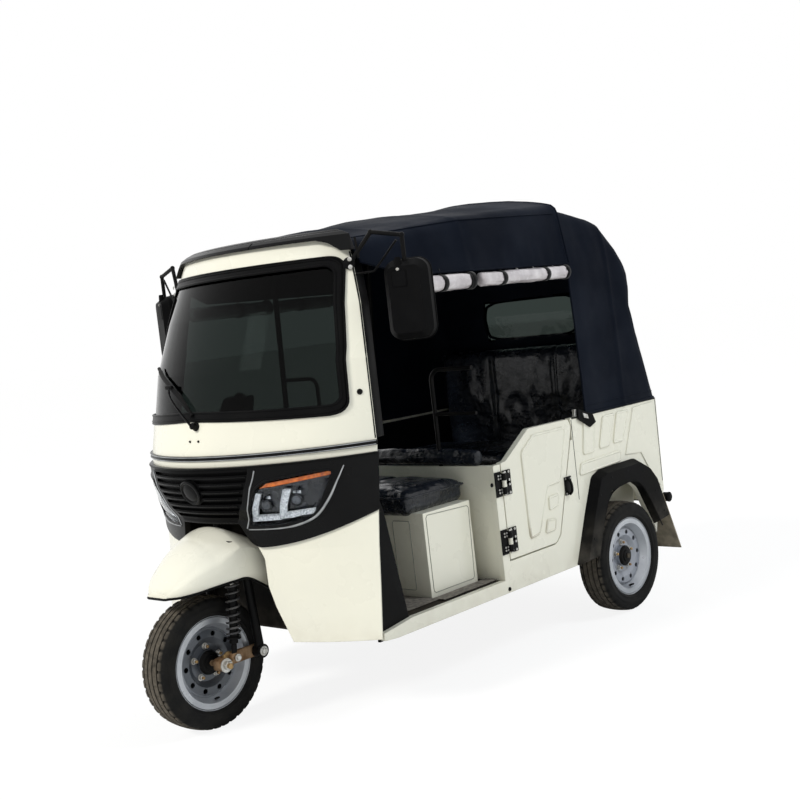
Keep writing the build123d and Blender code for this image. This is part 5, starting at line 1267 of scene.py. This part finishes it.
# ---------------------------------------------------------------- rolled side curtains
ROLL_X, ROLL_Z = 0.604, 1.536
for name, side in (("left", 1), ("right", -1)):
    for part, start, stop, radius, strap_at in (
        ("front", 0.598, 1.050, 0.0325, (0.873, 1.035)), ("rear", 1.102, 1.690, 0.0290, (1.246, 1.544)),
    ):
        roll = Shape()
        steps, sides = int((stop - start) / 0.006), 44
        rings = []
        for k in range(steps + 1):
            y = start + (stop - start) * k / steps
            pinch = sum(math.exp(-((y - s) / 0.016) ** 2) for s in strap_at)
            ends = min(1.0, min(k, steps - k) / 2.0)
            ring = []
            for m in range(sides):
                a = 2 * math.pi * m / sides
                wrinkle = 0.0030 * wave((math.cos(a) * 1.2, y * 7.0 + a * 0.6, math.sin(a) * 1.2), 1.3, 3.0 + side)
                wrinkle += 0.0016 * wave((math.cos(a) * 2.6, y * 20.0, math.sin(a) * 2.6), 1.5, 7.0)
                lap = 0.0022 if 0 <= (a - 0.7) % (2 * math.pi) < math.pi else 0.0
                r = radius - 0.0016 + wrinkle + lap - 0.0042 * min(1.0, pinch)
                r *= 0.55 + 0.45 * ends
                ring.append(P(side * (ROLL_X + r * math.cos(a)), y, ROLL_Z + r * math.sin(a) * 0.98 - 0.0015))
            rings.append(ring)
        roll.grid(rings, 0, closed=True)
        roll.faces += [list(range(sides))[::-1], [steps * sides + m for m in range(sides)]]
        roll.finish += [0, 0]
        piece = roll.make(f"curtain_roll_{part}_{name}", "body", roll_film, slot="curtain", smooth=55,
                          replaces=("curtain_rolls",) if (part, side) == ("front", 1) else ())
        straps = Shape()
        for s in strap_at:
            straps.turned(
                P(side * ROLL_X, s, 1.5345), (0, 1, 0),
                [
                    (-0.012, radius - 0.004), (-0.0125, radius - 0.0012), (-0.0105, radius), (0.0105, radius),
                    (0.0125, radius - 0.0012), (0.012, radius - 0.004),
                ],
                40, 0, hoop=True,
            )
        cap_y = stop if part == "rear" else stop - 0.004
        straps.turned(
            P(side * ROLL_X, cap_y - 0.012, ROLL_Z), (0, 1, 0),
            [
                (0, radius + 0.001), (0.004, radius + 0.003), (0.018, radius + 0.003), (0.026, radius - 0.004),
                (0.030, radius - 0.014), (0.031, 0),
            ],
            36, 0,
        )
        for s in strap_at:
            straps.tube(
                [P(side * ROLL_X, s, 1.562), P(side * 0.598, s, 1.585), P(side * 0.590, s + 0.004, 1.600)], 0.0048, 6,
                0,
            )
        straps.make(f"curtain_straps_{part}_{name}", "body", webbing, slot="canvas", smooth=50)
    ties = Shape()
    for a, b, c in ((1.30, 1.36, 0.013), (1.42, 1.47, 0.010), (1.55, 1.61, 0.012)):
        ties.tube(
            bend_line(
                [P(side * 0.585, a, 1.612), P(side * 0.600, (a + b) / 2, 1.590 - c), P(side * 0.606, b, 1.566)], 14,
            ),
            0.0013, 6, 0,
        )
    ties.make(
        f"curtain_ties_{name}", "body",
        material(
            f"tie_cord_{name}", (0.55, 0.55, 0.52), 0.7, tint=(0.4, 0.4, 0.38), tint_scale=60,
            grain=[(900, 0.0002, 2, None)],
        ),
        slot="curtain", smooth=40,
    )


# ---------------------------------------------------------------- cushions
SIM_FRAMES = 14
SWELL_LIMIT = 0.012


def cushion(name, low, high, node, corner, crown, channels=(), tuck=0.010):
    """A stuffed pad with tucked sides and sewn channels, its surface wrinkled; the film cover over it is not built."""
    made = bmesh.new()
    bmesh.ops.create_cube(made, size=1.0)
    size = [h - l for l, h in zip(low, high)]
    centre = [(l + h) / 2 for l, h in zip(low, high)]
    for v in made.verts:
        v.co = Vector((v.co.x * size[0], v.co.y * size[1], v.co.z * size[2]))
    bmesh.ops.bevel(made, geom=made.edges[:], offset=corner, segments=4, profile=0.5, affect="EDGES")
    mesh = bpy.data.meshes.new(name)
    made.to_mesh(mesh)
    made.free()
    obj = bpy.data.objects.new(name, mesh)
    scene.collection.objects.link(obj)
    remesh = obj.modifiers.new("remesh", "REMESH")
    remesh.mode = "VOXEL"
    remesh.voxel_size = 0.010 if max(size) < 1.3 else 0.012
    apply_modifiers(obj)
    rest = [v.co.copy() for v in obj.data.vertices]
    sim = obj.modifiers.new("cloth", "CLOTH")
    sim.settings.quality = 4
    sim.settings.use_pressure = True
    sim.settings.uniform_pressure_force = 4.0
    sim.settings.effector_weights.gravity = 0.0
    sim.collision_settings.use_collision = False
    for f in range(1, SIM_FRAMES + 1):
        scene.frame_set(f)
    apply_modifiers(obj)
    scene.frame_set(1)
    half = Vector(size) / 2
    for v, at in zip(obj.data.vertices, rest):
        move = v.co - at
        if move.length > SWELL_LIMIT:
            move *= SWELL_LIMIT / move.length
        p = at + move
        flat = p.x / half.x, p.y / half.y, p.z / half.z
        world = p + Vector(centre)
        p = p.copy()
        dome = (1 - abs(flat[0]) ** 3) * (1 - abs(flat[1]) ** 3)
        if crown == "up":
            if flat[2] > 0.2:
                p.z += -0.010 + 0.014 * dome + 0.0055 * wave(world, 7.0, 3.0) + 0.0035 * wave(
                    (world.x, world.y * 2.5, world.z), 13.0, 5.0,
                )
            waist = 1 - abs(flat[2])
            p.x -= math.copysign(tuck * waist * min(1, abs(flat[0]) ** 6), p.x)
            p.y -= math.copysign(tuck * waist * min(1, abs(flat[1]) ** 6), p.y)
            side_fold = 0.0040 * wave((world.x * 2.2, world.y * 2.2, world.z * 6.0), 5.0, 9.0)
            if abs(flat[1]) > 0.8:
                p.y += side_fold * math.copysign(1, p.y)
            if abs(flat[0]) > 0.9:
                p.x += side_fold * math.copysign(1, p.x)
            for c in channels:
                p.z -= 0.010 * math.exp(-((world.x - c) / 0.010) ** 2) * (1 if flat[2] > 0.3 else 0)
        else:
            if flat[1] < -0.1:
                bulge = 0.016 * (1 - abs(flat[0]) ** 4) * (1 - abs(flat[2]) ** 3)
                coarse = 0.006 * wave(world, 5.5, 4.0)
                p.y += 0.012 - bulge + coarse + 0.004 * wave((world.x * 1.5, world.y, world.z), 12.0, 8.0)
            for c in channels:
                p.y += 0.012 * math.exp(-((world.x - c) / 0.010) ** 2) * (1 if flat[1] < -0.2 else 0)
        v.co = p + Vector(centre)
    subdivide = obj.modifiers.new("smooth", "SUBSURF")
    subdivide.levels = 1
    subdivide.render_levels = 1
    apply_modifiers(obj)
    obj.data.materials.clear()
    obj.data.materials.append(vinyl)
    obj.data.shade_smooth()
    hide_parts(node)
    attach(obj, "body")
    return obj


cushion(
    "driver_cushion", P(-0.494, 0.657, 0.6725), P(0.494, 1.023, 0.760), "driver_seat_cushion", 0.030, "up",
    (-0.17, 0.17),
)
cushion(
    "driver_back_roll", P(-0.552, 1.029, 0.8005), P(0.552, 1.081, 0.874), "driver_backrest", 0.022, "up", (),
    0.002,
)
cushion(
    "passenger_pad", P(-0.569, 1.622, 0.6205), P(0.569, 2.104, 0.750), "passenger_cushion", 0.035, "up",
    (-0.19, 0.19),
)
cushion(
    "passenger_back_pad", P(-0.549, 2.128, 0.6205), P(0.549, 2.222, 1.215), "passenger_backrest", 0.028, "back",
    (-0.19, 0.19), 0.004,
)
piping = Shape()
for lo, hi, z in (((-0.494, 0.657), (0.494, 1.023), 0.738), ((-0.569, 1.622), (0.569, 2.104), 0.724)):
    ring = bend_loop([P(lo[0], lo[1], z), P(hi[0], lo[1], z), P(hi[0], hi[1], z), P(lo[0], hi[1], z)], 0.06, 2, 180)
    piping.tube([p + Vector((0, 0, 0.0014 * wave(p, 9.0, 3.0))) for p in ring], 0.0040, 8, 0, closed=True)
piping.make("seat_piping", "body", vinyl, slot="black_vinyl", smooth=60)


# ---------------------------------------------------------------- mirrors
turn_out = math.radians(24)
for name, side in (("left", 1), ("right", -1)):
    face = Vector((side * math.sin(turn_out), -math.cos(turn_out), 0))
    right = Vector((math.cos(turn_out), side * math.sin(turn_out), 0))
    up = Vector((0, 0, 1))
    middle = P(side * 0.712, 0.560, 1.486)
    part = Shape()

    def M(u, v, w):
        return middle + right * u + up * v + face * w

    def loop(half_u, half_v, corner, w, count=72, du=0.0, dv=0.0):
        pts = []
        for cu, cv, a0 in (
            (half_u - corner, half_v - corner, 0), (-half_u + corner, half_v - corner, 90),
            (-half_u + corner, -half_v + corner, 180), (half_u - corner, -half_v + corner, 270),
        ):
            for k in range(7):
                a = math.radians(a0 + 15 * k)
                pts.append(M(cu + corner * math.cos(a) + du, cv + corner * math.sin(a) + dv, w))
        return spaced(pts, count, True)

    part.tube(loop(0.0855, 0.1445, 0.047, -0.031), 0.0036, 8, 0, closed=True)
    part.tube(loop(0.028, 0.030, 0.006, 0.0312, 48, -0.018 * side, 0.076), 0.0016, 6, 0, closed=True)
    plate = loop(0.026, 0.028, 0.006, 0.0312, 40, -0.018 * side, 0.076)
    part.plate(plate, face, 0.0012, 0)
    part.turned(M(-0.02 * side, 0.118, 0.018), up, [(0, 0.013), (0.030, 0.011), (0.034, 0.0095)], 24, 0)
    part.bolt(M(-0.02 * side, 0.108, 0.031), face, 0.0045, 1)
    glass = loop(0.078, 0.137, 0.042, -0.0315)
    part.plate(glass, -face, 0.0028, 2)
    part.make(f"mirror_detail_{name}", "body", [black_plastic, zinc, mirror_glass], slot="black_plastic", smooth=40)
    arm = Shape()
    foot = P(side * 0.514, 0.484, 1.640)
    foot_out = (side * 0.6, -0.75, 0.1)
    arm.tube(
        spaced([P(side * 0.530, 0.492, 1.600), P(side * 0.596, 0.520, 1.600), P(side * 0.690, 0.552, 1.700)], 16),
        0.0042, 8, 0,
    )
    arm.tube(spaced([P(side * 0.540, 0.497, 1.742 - 0.012), P(side * 0.545, 0.500, 1.655)], 8), 0.0048, 8, 0)
    arm.turned(foot - Vector((side * 0.004, 0.0, 0)), foot_out, [(0, 0.022), (0.006, 0.022), (0.008, 0.018)], 24, 0)
    arm.bolt(foot + Vector((side * 0.010, -0.010, 0.014)), foot_out, 0.0055, 1)
    arm.bolt(foot + Vector((side * 0.010, -0.010, -0.014)), foot_out, 0.0055, 1)
    arm.make(f"mirror_stay_{name}", "body", [black_steel, zinc], slot="black_steel", smooth=40)


# ---------------------------------------------------------------- side body details
HINGE_LOWS = (0.448, 0.680)
PANEL_X = 0.6203
PLATE_X = 0.6225
LINING_X = 0.5946
SMALL_SCREW = [(0, 0.0042), (0.002, 0.0038), (0.0026, 0)]
HINGE_SCREW = [(0, 0.0058), (0.0022, 0.0052), (0.003, 0)]


def side_strip(shape, points, x, radius, index=0, rounds=1, count=40):
    shape.tube(spaced(smooth_line([P(x, y, z) for y, z in points], rounds=rounds), count), radius, 6, index)


for name, side in (("left", 1), ("right", -1)):
    out_way = Vector((side, 0, 0))
    door = Shape()
    door.box(P(side * PLATE_X, 1.527, 0.633), (0.005, 0.050, 0.078), None, 0, 0.002)
    door.tube(
        bend_line(
            [
                P(side * 0.628, 1.520, 0.665), P(side * 0.644, 1.522, 0.650), P(side * 0.646, 1.524, 0.612),
                P(side * 0.630, 1.526, 0.598),
            ],
            20,
        ),
        0.0075, 10, 0, flat=0.7,
    )
    for y, z in ((1.509, 0.664), (1.545, 0.664), (1.509, 0.602), (1.545, 0.602)):
        door.turned(P(side * 0.6248, y, z), out_way, SMALL_SCREW, 14, 1)
    for low in HINGE_LOWS:
        for y in (1.104, 1.128):
            for dz in (0.033, 0.051):
                door.turned(P(side * 0.6252, y, low + dz), out_way, HINGE_SCREW, 14, 1)
    for low in HINGE_LOWS:
        door.box(P(side * PLATE_X, 1.116, low + 0.042), (0.005, 0.050, 0.100), None, 0, 0.0018)
        for dz in (0.000, 0.084):
            for y in (1.104, 1.128):
                door.turned(P(side * 0.6250, y, low + dz), out_way, HINGE_SCREW, 14, 1)
    lined = [
        (1.100, 0.425), (1.100, 0.788), (1.126, 0.796), (1.294, 0.900), (1.563, 0.898), (1.580, 0.876),
        (1.432, 0.450), (1.400, 0.425),
    ]
    door.plate([P(side * LINING_X, y, z) for y, z in lined], -out_way, 0.003, 2)
    door.make(f"door_fittings_{name}", f"door_{name}", [black_steel, zinc, lining], slot="black_steel", smooth=40)
    hinge = Shape()
    for low in HINGE_LOWS:
        for y in (1.060, 1.075):
            for dz in (0.008, 0.020, 0.064, 0.076):
                hinge.turned(
                    P(side * 0.6252, y, low + dz), out_way, [(0, 0.0046), (0.0022, 0.0040), (0.003, 0)], 12, 1,
                )
        for end, way in ((low, -1), (low + 0.084, 1)):
            hinge.turned(
                P(side * 0.632, 1.087, end), (0, 0, way),
                [(0, 0.0062), (0.003, 0.0058), (0.0045, 0.003), (0.0048, 0)], 16, 1,
            )
    for low in HINGE_LOWS:
        hinge.box(P(side * PLATE_X, 1.060, low + 0.042), (0.005, 0.040, 0.100), None, 0, 0.0018)
    for y, z in ((1.020, 0.727), (1.061, 0.300)):
        hinge.turned(
            P(side * 0.6202, y, z), out_way, [(0, 0.0085), (0.002, 0.0085), (0.0045, 0.006), (0.005, 0)], 18, 2,
        )
    hinge.make(f"hinge_screws_{name}", "body", [black_steel, zinc, black_plastic], slot="black_steel", smooth=40)
    seams = Shape()
    side_strip(seams, [(1.6000, 0.905), (1.6000, 0.560)], side * PANEL_X, 0.0014, 0, 0, 12)
    side_strip(seams, [(2.2880, 0.905), (2.2860, 0.520)], side * PANEL_X, 0.0016, 0, 0, 12)
    side_strip(seams, [(1.605, 0.9105), (2.288, 0.9105)], side * 0.6206, 0.0036, 1, 0, 30)
    clip = [(1.647, 0.945), (1.752, 0.908), (1.771, 0.872), (1.724, 0.856), (1.640, 0.902)]
    seams.plate([P(side * 0.6255, y, z) for y, z in clip], out_way, 0.006, 1)
    seams.plate(
        [P(side * 0.6320, y, z) for y, z in ((1.672, 0.925), (1.706, 0.913), (1.712, 0.895), (1.680, 0.903))],
        out_way, 0.004, 2,
    )
    seams.box(P(side * 0.616, 1.636, 0.928), (0.012, 0.016, 0.034), None, 2, 0.002)
    lined = [(1.614, 0.626), (1.614, 0.902), (2.262, 0.902), (2.262, 0.626)]
    seams.plate([P(side * LINING_X, y, z) for y, z in lined], -out_way, 0.003, 3)
    strip = []
    for k in range(25):
        z = 1.010 + 0.675 * k / 24
        _, _, rear_x, rear_y = table_at(CAB_UPPER, z)
        strip.append(
            [
                P(side * (rear_x - d), rear_y + e, z) for d, e in (
                    (0.001, -0.006), (0.001, 0.010), (0.006, 0.030), (0.012, 0.052),
                )
            ]
        )
    cloth(seams, strip, 0.004 * side, index=0)
    seams.make(
        f"side_seams_{name}", "body", [gasket_rubber, black_plastic, zinc, lining], slot="black_plastic", smooth=45,
    )
    flare = Shape()
    arch = [
        (1.628, 0.262), (1.642, 0.292), (1.722, 0.474), (1.790, 0.566), (1.978, 0.584), (2.058, 0.535),
        (2.182, 0.330),
    ]
    side_strip(flare, arch, side * 0.661, 0.0040, 0, 2, 90)
    for y, z in (
        (1.622, 0.385), (1.700, 0.560), (1.800, 0.622), (1.930, 0.628), (2.060, 0.602), (2.150, 0.498),
        (2.205, 0.395),
    ):
        flare.turned(
            P(side * 0.652, y, z), out_way, [(0.004, 0.0085), (0.0105, 0.0080), (0.0125, 0.005), (0.013, 0)], 16, 1,
        )
    flare.make(f"flare_lip_{name}", "body", [flare_plastic, black_plastic], slot="black_plastic", smooth=45)
    flap = Shape()
    rows = []
    for j in range(13):
        t = j / 12
        y, z = 2.2145 + 0.114 * t, 0.470 - 0.278 * t
        rows.append(
            [
                P(
                    side * (0.531 + 0.122 * i / 10), y + 0.0016 * wave((i * 0.2, t * 4, side), 1.0, 3.0), z,
                ) for i in range(11)
            ]
        )
    for j in range(3, 12, 3):
        flap.tube([p + Vector((0, 0.0085, 0.004)) for p in rows[j]], 0.0022, 6, 0)
    flap.box(P(side * 0.592, 2.2135, 0.462), (0.128, 0.006, 0.026), None, 1, 0.002)
    for x in (0.545, 0.592, 0.640):
        flap.bolt(P(side * x, 2.2100, 0.462), (0, -1, 0), 0.0055, 2)
        flap.bolt(P(side * x, 2.2265, 0.463), (0, 1, 0), 0.0055, 2)
    flap.make(f"flap_fittings_{name}", "body", [flap_rubber, frame_steel, zinc], slot="rubber", smooth=45)

# ---------------------------------------------------------------- cab inside
# Painted shade: the cream darkened to stand in for the shade inside the seat-box panel grooves.
groove_shade = material(
    "groove_shade", (0.34, 0.34, 0.29), 0.4, tint=(0.24, 0.24, 0.20), tint_scale=12.0,
    grain=[(500.0, 0.00003, 2.0, None)],
)
inside = Shape()
for side in (1, -1):
    outline = [(0.726, 0.662), (1.001 - 0.020, 0.653), (0.972, 0.360), (0.726, 0.360)]
    inside.tube(bend_loop([P(side * 0.5205, y, z) for y, z in outline], 0.03, 1, 90), 0.0016, 6, 0, closed=True)
for x0, x1 in ((0.357, 0.446), (-0.446, -0.357), (-0.30, 0.30)):
    box_line = [P(x0, 0.7092, 0.370), P(x1, 0.7092, 0.370), P(x1, 0.7092, 0.640), P(x0, 0.7092, 0.640)]
    inside.tube(bend_loop(box_line, 0.03, 1, 70), 0.0016, 6, 0, closed=True)
for x in (-0.28, 0.28):
    inside.turned(
        P(x, 0.7095, 0.505), (0, -1, 0), [(0, 0.011), (0.003, 0.011), (0.005, 0.008), (0.005, 0.004), (0.003, 0)], 20,
        1,
    )
inside.make("seat_box_panels", "body", [groove_shade, zinc], slot="body_paint", smooth=40)


def mat_piece(name, x0, x1, y0, y1, nx=36, ny=20):
    """A loose floor mat with a slight ripple."""
    def spot(i, j):
        ripple = 0.0012 * wave((i * 0.22, j * 0.22, 0), 1.0, 5.0)
        return P(x0 + (x1 - x0) * i / nx, y0 + (y1 - y0) * j / ny, 0.3425 + ripple)

    made = Shape()
    cloth(made, [[spot(i, j) for i in range(nx + 1)] for j in range(ny + 1)], -0.003)
    piece = made.make(name, "body", mat_carpet, slot="rubber", smooth=60)


mat_piece("floor_mat_driver", -0.555, 0.555, 0.400, 0.706)
mat_piece("floor_mat_passenger", -0.570, 0.570, 1.075, 1.470)
for side in (1, -1):
    mat_piece(
        "floor_mat_step_" + ("left" if side == 1 else "right"), *sorted((side * 0.528, side * 0.584)), 0.708, 1.030,
    )

dash = Shape()
dash.box(P(0, 0.300, 0.9895), (0.30, 0.040, 0.010), None, 0, 0.004)
for x in (-0.30, -0.22, 0.22, 0.30):
    dash.turned(P(x, 0.290, 0.9855), (0, 0, 1), [(0, 0.012), (0.004, 0.012), (0.010, 0.009), (0.011, 0)], 20, 0)
dash.make("dash_fittings", "body", black_plastic, slot="black_plastic", smooth=40)

grips = Shape()
bar_y = rake_y(1.095)
for side in (1, -1):
    outer = P(side * 0.270, bar_y + 0.150, 1.109)
    bend = P(side * 0.150, bar_y + 0.070, 1.119)
    way = (bend - outer).normalized()
    inner = outer + (bend - outer) * 0.75
    length = (inner - outer).length
    for k in range(15):
        grips.turned(
            outer + way * (0.008 + (length - 0.016) * k / 14), way,
            [(-0.0022, 0.0158), (-0.0010, 0.0176), (0.0010, 0.0176), (0.0022, 0.0158)], 24, 0,
        )
    grips.turned(outer, -way, [(-0.004, 0.0185), (0.002, 0.0185), (0.005, 0.0150), (0.006, 0)], 24, 0)
    lever = [
        inner + Vector((0, -0.012, 0.004)), inner + Vector((side * 0.02, -0.030, 0.004)),
        outer + Vector((-side * 0.010, -0.042, 0.0)), outer + Vector((side * 0.004, -0.044, -0.002)),
    ]
    grips.tube(bend_line(lever, 20), 0.0045, 8, 1, flat=0.7)
    grips.turned(inner + way * 0.004, way, [(0, 0.0205), (0.003, 0.0215), (0.026, 0.0215), (0.029, 0.0195)], 24, 2)
grips.turned(
    P(0, bar_y + 0.092, 1.168), Vector((0, 0.89, 0.46)),
    [(0.004, 0.038), (0.009, 0.040), (0.013, 0.040), (0.014, 0.036), (0.011, 0.034), (0.011, 0)], 40, 2,
)
grips.make("handlebar_controls", "steering", [gasket_rubber, zinc, black_plastic], slot="black_steel", smooth=40)

GUARD = ((-0.164, 0.056, 0.526, 0.538, 0.552), (-0.140, 0.090, 0.527, 0.556, 0.586),
         (-0.090, 0.126, 0.533, 0.588, 0.641), (-0.020, 0.156, 0.543, 0.614, 0.691),
         (0.050, 0.176, 0.549, 0.628, 0.714), (0.105, 0.184, 0.547, 0.628, 0.716),
         (0.192, 0.187, 0.492, 0.604, 0.678))


def through(rows, value):
    """A smooth curve through the table's rows (Catmull-Rom)."""
    k = max(i for i in range(len(rows) - 1) if rows[i][0] <= value + 1e-9)
    a, b = rows[k], rows[k + 1]
    before, after = rows[max(k - 1, 0)], rows[min(k + 2, len(rows) - 1)]
    t = (value - a[0]) / (b[0] - a[0])
    found = []
    for n in range(1, len(a)):
        d0 = (b[n] - before[n]) / (b[0] - before[0]) * (b[0] - a[0])
        d1 = (after[n] - a[n]) / (after[0] - a[0]) * (b[0] - a[0])
        found.append(
            (
                2 * t**3 - 3 * t**2 + 1
            ) * a[n] + (t**3 - 2 * t**2 + t) * d0 + (3 * t**2 - 2 * t**3) * b[n] + (t**3 - t**2) * d1
        )
    return found


guard = Shape()
guard_rows = []
for k in range(61):
    y = -0.164 + 0.356 * k / 60
    half, hem, shoulder, crown = through(GUARD, y)
    rise = max(0.0, min(1.0, y / 0.09))
    shoulder += 0.032 * rise
    crown += 0.014 * rise
    radius = (half**2 * 0.94 + (crown - shoulder) ** 2) / (2 * (crown - shoulder))
    lean = math.asin(min(1.0, half * 0.97 / radius))
    side_run = []
    for m in range(11):
        t = m / 10
        bulge = 0.004 * math.sin(math.pi * t)
        side_run.append((half - (half * 0.03) * t + bulge, hem + (shoulder - hem) * t))
    arc = [
        (
            radius * math.sin(lean * (1 - m / 16)), crown - radius * (1 - math.cos(lean * (1 - m / 16))),
        ) for m in range(1, 17)
    ]
    arc = [(x, z - 0.0035 * math.exp(-((x / half - 0.80) / 0.09) ** 2)) for x, z in arc]
    run = side_run + arc
    full = run + [(-x, z) for x, z in reversed(run[:-1])]
    guard_rows.append([P(x, y, z) for x, z in full])
nose = []
for t in (1.0, 0.85, 0.6, 0.3):
    shrink, drop = 1 - 0.30 * t * t, 1 - 0.93 * t * t
    nose.append([P(p.x * shrink, -0.164 - 0.011 * math.sqrt(t), 0.526 + (p.z - 0.526) * drop) for p in guard_rows[0]])
guard_rows = nose + guard_rows
cloth(guard, guard_rows, -0.0055)
guard_paint = material(
    "guard_paint", CREAM, 0.22, tint=(0.80, 0.785, 0.67), tint_scale=2.2, rough_to=0.32,
    grain=[(420.0, 0.00002, 2.0, None)], coat=0.5, coat_rough=0.06, soften=0.003,
    low_dust=((0.52, 0.47, 0.36), 0.56, 0.50),
)
PRESSED_X = 0.6215  # middle of the pressed beads, just proud of the panels
door_forms = (
    [(1.229, 0.821), (1.317, 0.880), (1.543, 0.880), (1.472, 0.665), (1.380, 0.661), (1.293, 0.478), (1.233, 0.470)],
    [(1.385, 0.607), (1.447, 0.610), (1.440, 0.570), (1.382, 0.560)],
    [(1.359, 0.517), (1.414, 0.512), (1.401, 0.473), (1.341, 0.471)],
)
panel_forms = (
    [(1.666, 0.748), (1.743, 0.748), (1.770, 0.885), (1.693, 0.885)],
    [(1.793, 0.755), (1.867, 0.755), (1.932, 0.885), (1.841, 0.885)],
    [(1.907, 0.760), (1.978, 0.760), (2.044, 0.885), (1.954, 0.885)],
    [(1.624, 0.663), (1.642, 0.707), (1.952, 0.714), (1.944, 0.673)],
)
for name, side in (("left", 1), ("right", -1)):
    for piece, body, forms in (
        (f"door_pressing_{name}", f"door_{name}", door_forms), (f"panel_pressing_{name}", "body", panel_forms),
    ):
        pressing = Shape()
        for form in forms:
            edge_run = bend_loop([P(side * PRESSED_X, y, z) for y, z in form], 0.05, 2, 110)
            pressing.tube(edge_run, 0.0058, 10, 0, closed=True)
        pressing.make(piece, body, guard_paint, slot="body_paint", smooth=50)
guard.make("mudguard_shell", "steering", guard_paint, slot="body_paint", smooth=36, replaces=("front_mudguard",))
lip = Shape()
hem = [
    row[0] + Vector((0.001, 0, -0.001)) for row in reversed(guard_rows)
] + [row[-1] + Vector((-0.001, 0, -0.001)) for row in guard_rows]
lip.tube(spaced(hem, 200), 0.0048, 8, 0)
stem_low, stem_high = P(0, rake_y(0.676), 0.676), P(0, rake_y(0.716), 0.716)
way = (stem_high - stem_low).normalized()
lip.turned(
    stem_low, way, [(0.0, 0.034), (0.036, 0.034), (0.040, 0.031), (0.046, 0.024), (0.046, 0.0155), (0.0, 0.0155)], 40,
    1, hoop=True,
)
lip.make("mudguard_lip", "steering", [gasket_rubber, black_steel], slot="rubber", smooth=45)

# ---------------------------------------------------------------- back of the vehicle
rear = Shape()
for side in (1, -1):
    for z0, z1, which in ((0.592, 0.655, 1), (0.660, 0.722, 2), (0.727, 0.788, 3)):
        rear.box(P(side * 0.500, 2.3155, (z0 + z1) / 2), (0.080, 0.006, z1 - z0), None, which, 0.0022)
    ring = bend_loop(
        [
            P(side * 0.500 + u, 2.3135, 0.690 + v) for u, v in (
                (-0.045, -0.105), (0.045, -0.105), (0.045, 0.105), (-0.045, 0.105),
            )
        ],
        0.1, 2, 80,
    )
    rear.tube(ring, 0.0045, 8, 0, closed=True)
    rear.turned(
        P(side * 0.601, 2.362, 0.427), (side, 0, 0), [(-0.004, 0.0235), (0.003, 0.0235), (0.006, 0.019), (0.0065, 0)],
        32, 0,
    )
    rear.turned(
        P(side * 0.42, 2.3845, 0.427), (0, 1, 0), [(-0.002, 0.026), (0.004, 0.026), (0.006, 0.022), (0.006, 0)], 32,
        3,
    )
hatch = [P(x, 2.2938, z) for x, z in ((-0.372, 0.528), (0.372, 0.528), (0.372, 0.832), (-0.372, 0.832))]
rear.tube(bend_loop(hatch, 0.06, 2, 140), 0.0026, 6, 0, closed=True)
rear.box(P(0, 2.2965, 0.680), (0.260, 0.003, 0.150), None, 4, 0.001)
plate_ring = [P(x, 2.2978, z) for x, z in ((-0.130, 0.605), (0.130, 0.605), (0.130, 0.755), (-0.130, 0.755))]
rear.tube(bend_loop(plate_ring, 0.05, 1, 80), 0.0032, 8, 0, closed=True)
for x in (-0.070, 0.070):
    rear.turned(P(x, 2.298, 0.680), (0, 1, 0), [(0, 0.006), (0.003, 0.006), (0.004, 0.004), (0.0042, 0)], 16, 5)
rear.box(P(0, 2.300, 0.803), (0.110, 0.014, 0.018), None, 0, 0.004)
rear.turned(
    P(0, 2.2935, 0.560), (0, 1, 0), [(0, 0.016), (0.004, 0.016), (0.006, 0.012), (0.004, 0.010), (0.004, 0)], 28, 5,
)
for x in (-0.300, 0.300):
    rear.box(P(x, 2.2965, 0.842), (0.060, 0.008, 0.020), None, 0, 0.002)
    for dx in (-0.018, 0.018):
        rear.turned(P(x + dx, 2.3005, 0.842), (0, 1, 0), SMALL_SCREW, 12, 5)
rear.make(
    "rear_fittings", "body", [black_plastic, red_lens, amber, reflector, plate_paint, zinc], slot="black_plastic",
    smooth=40,
)
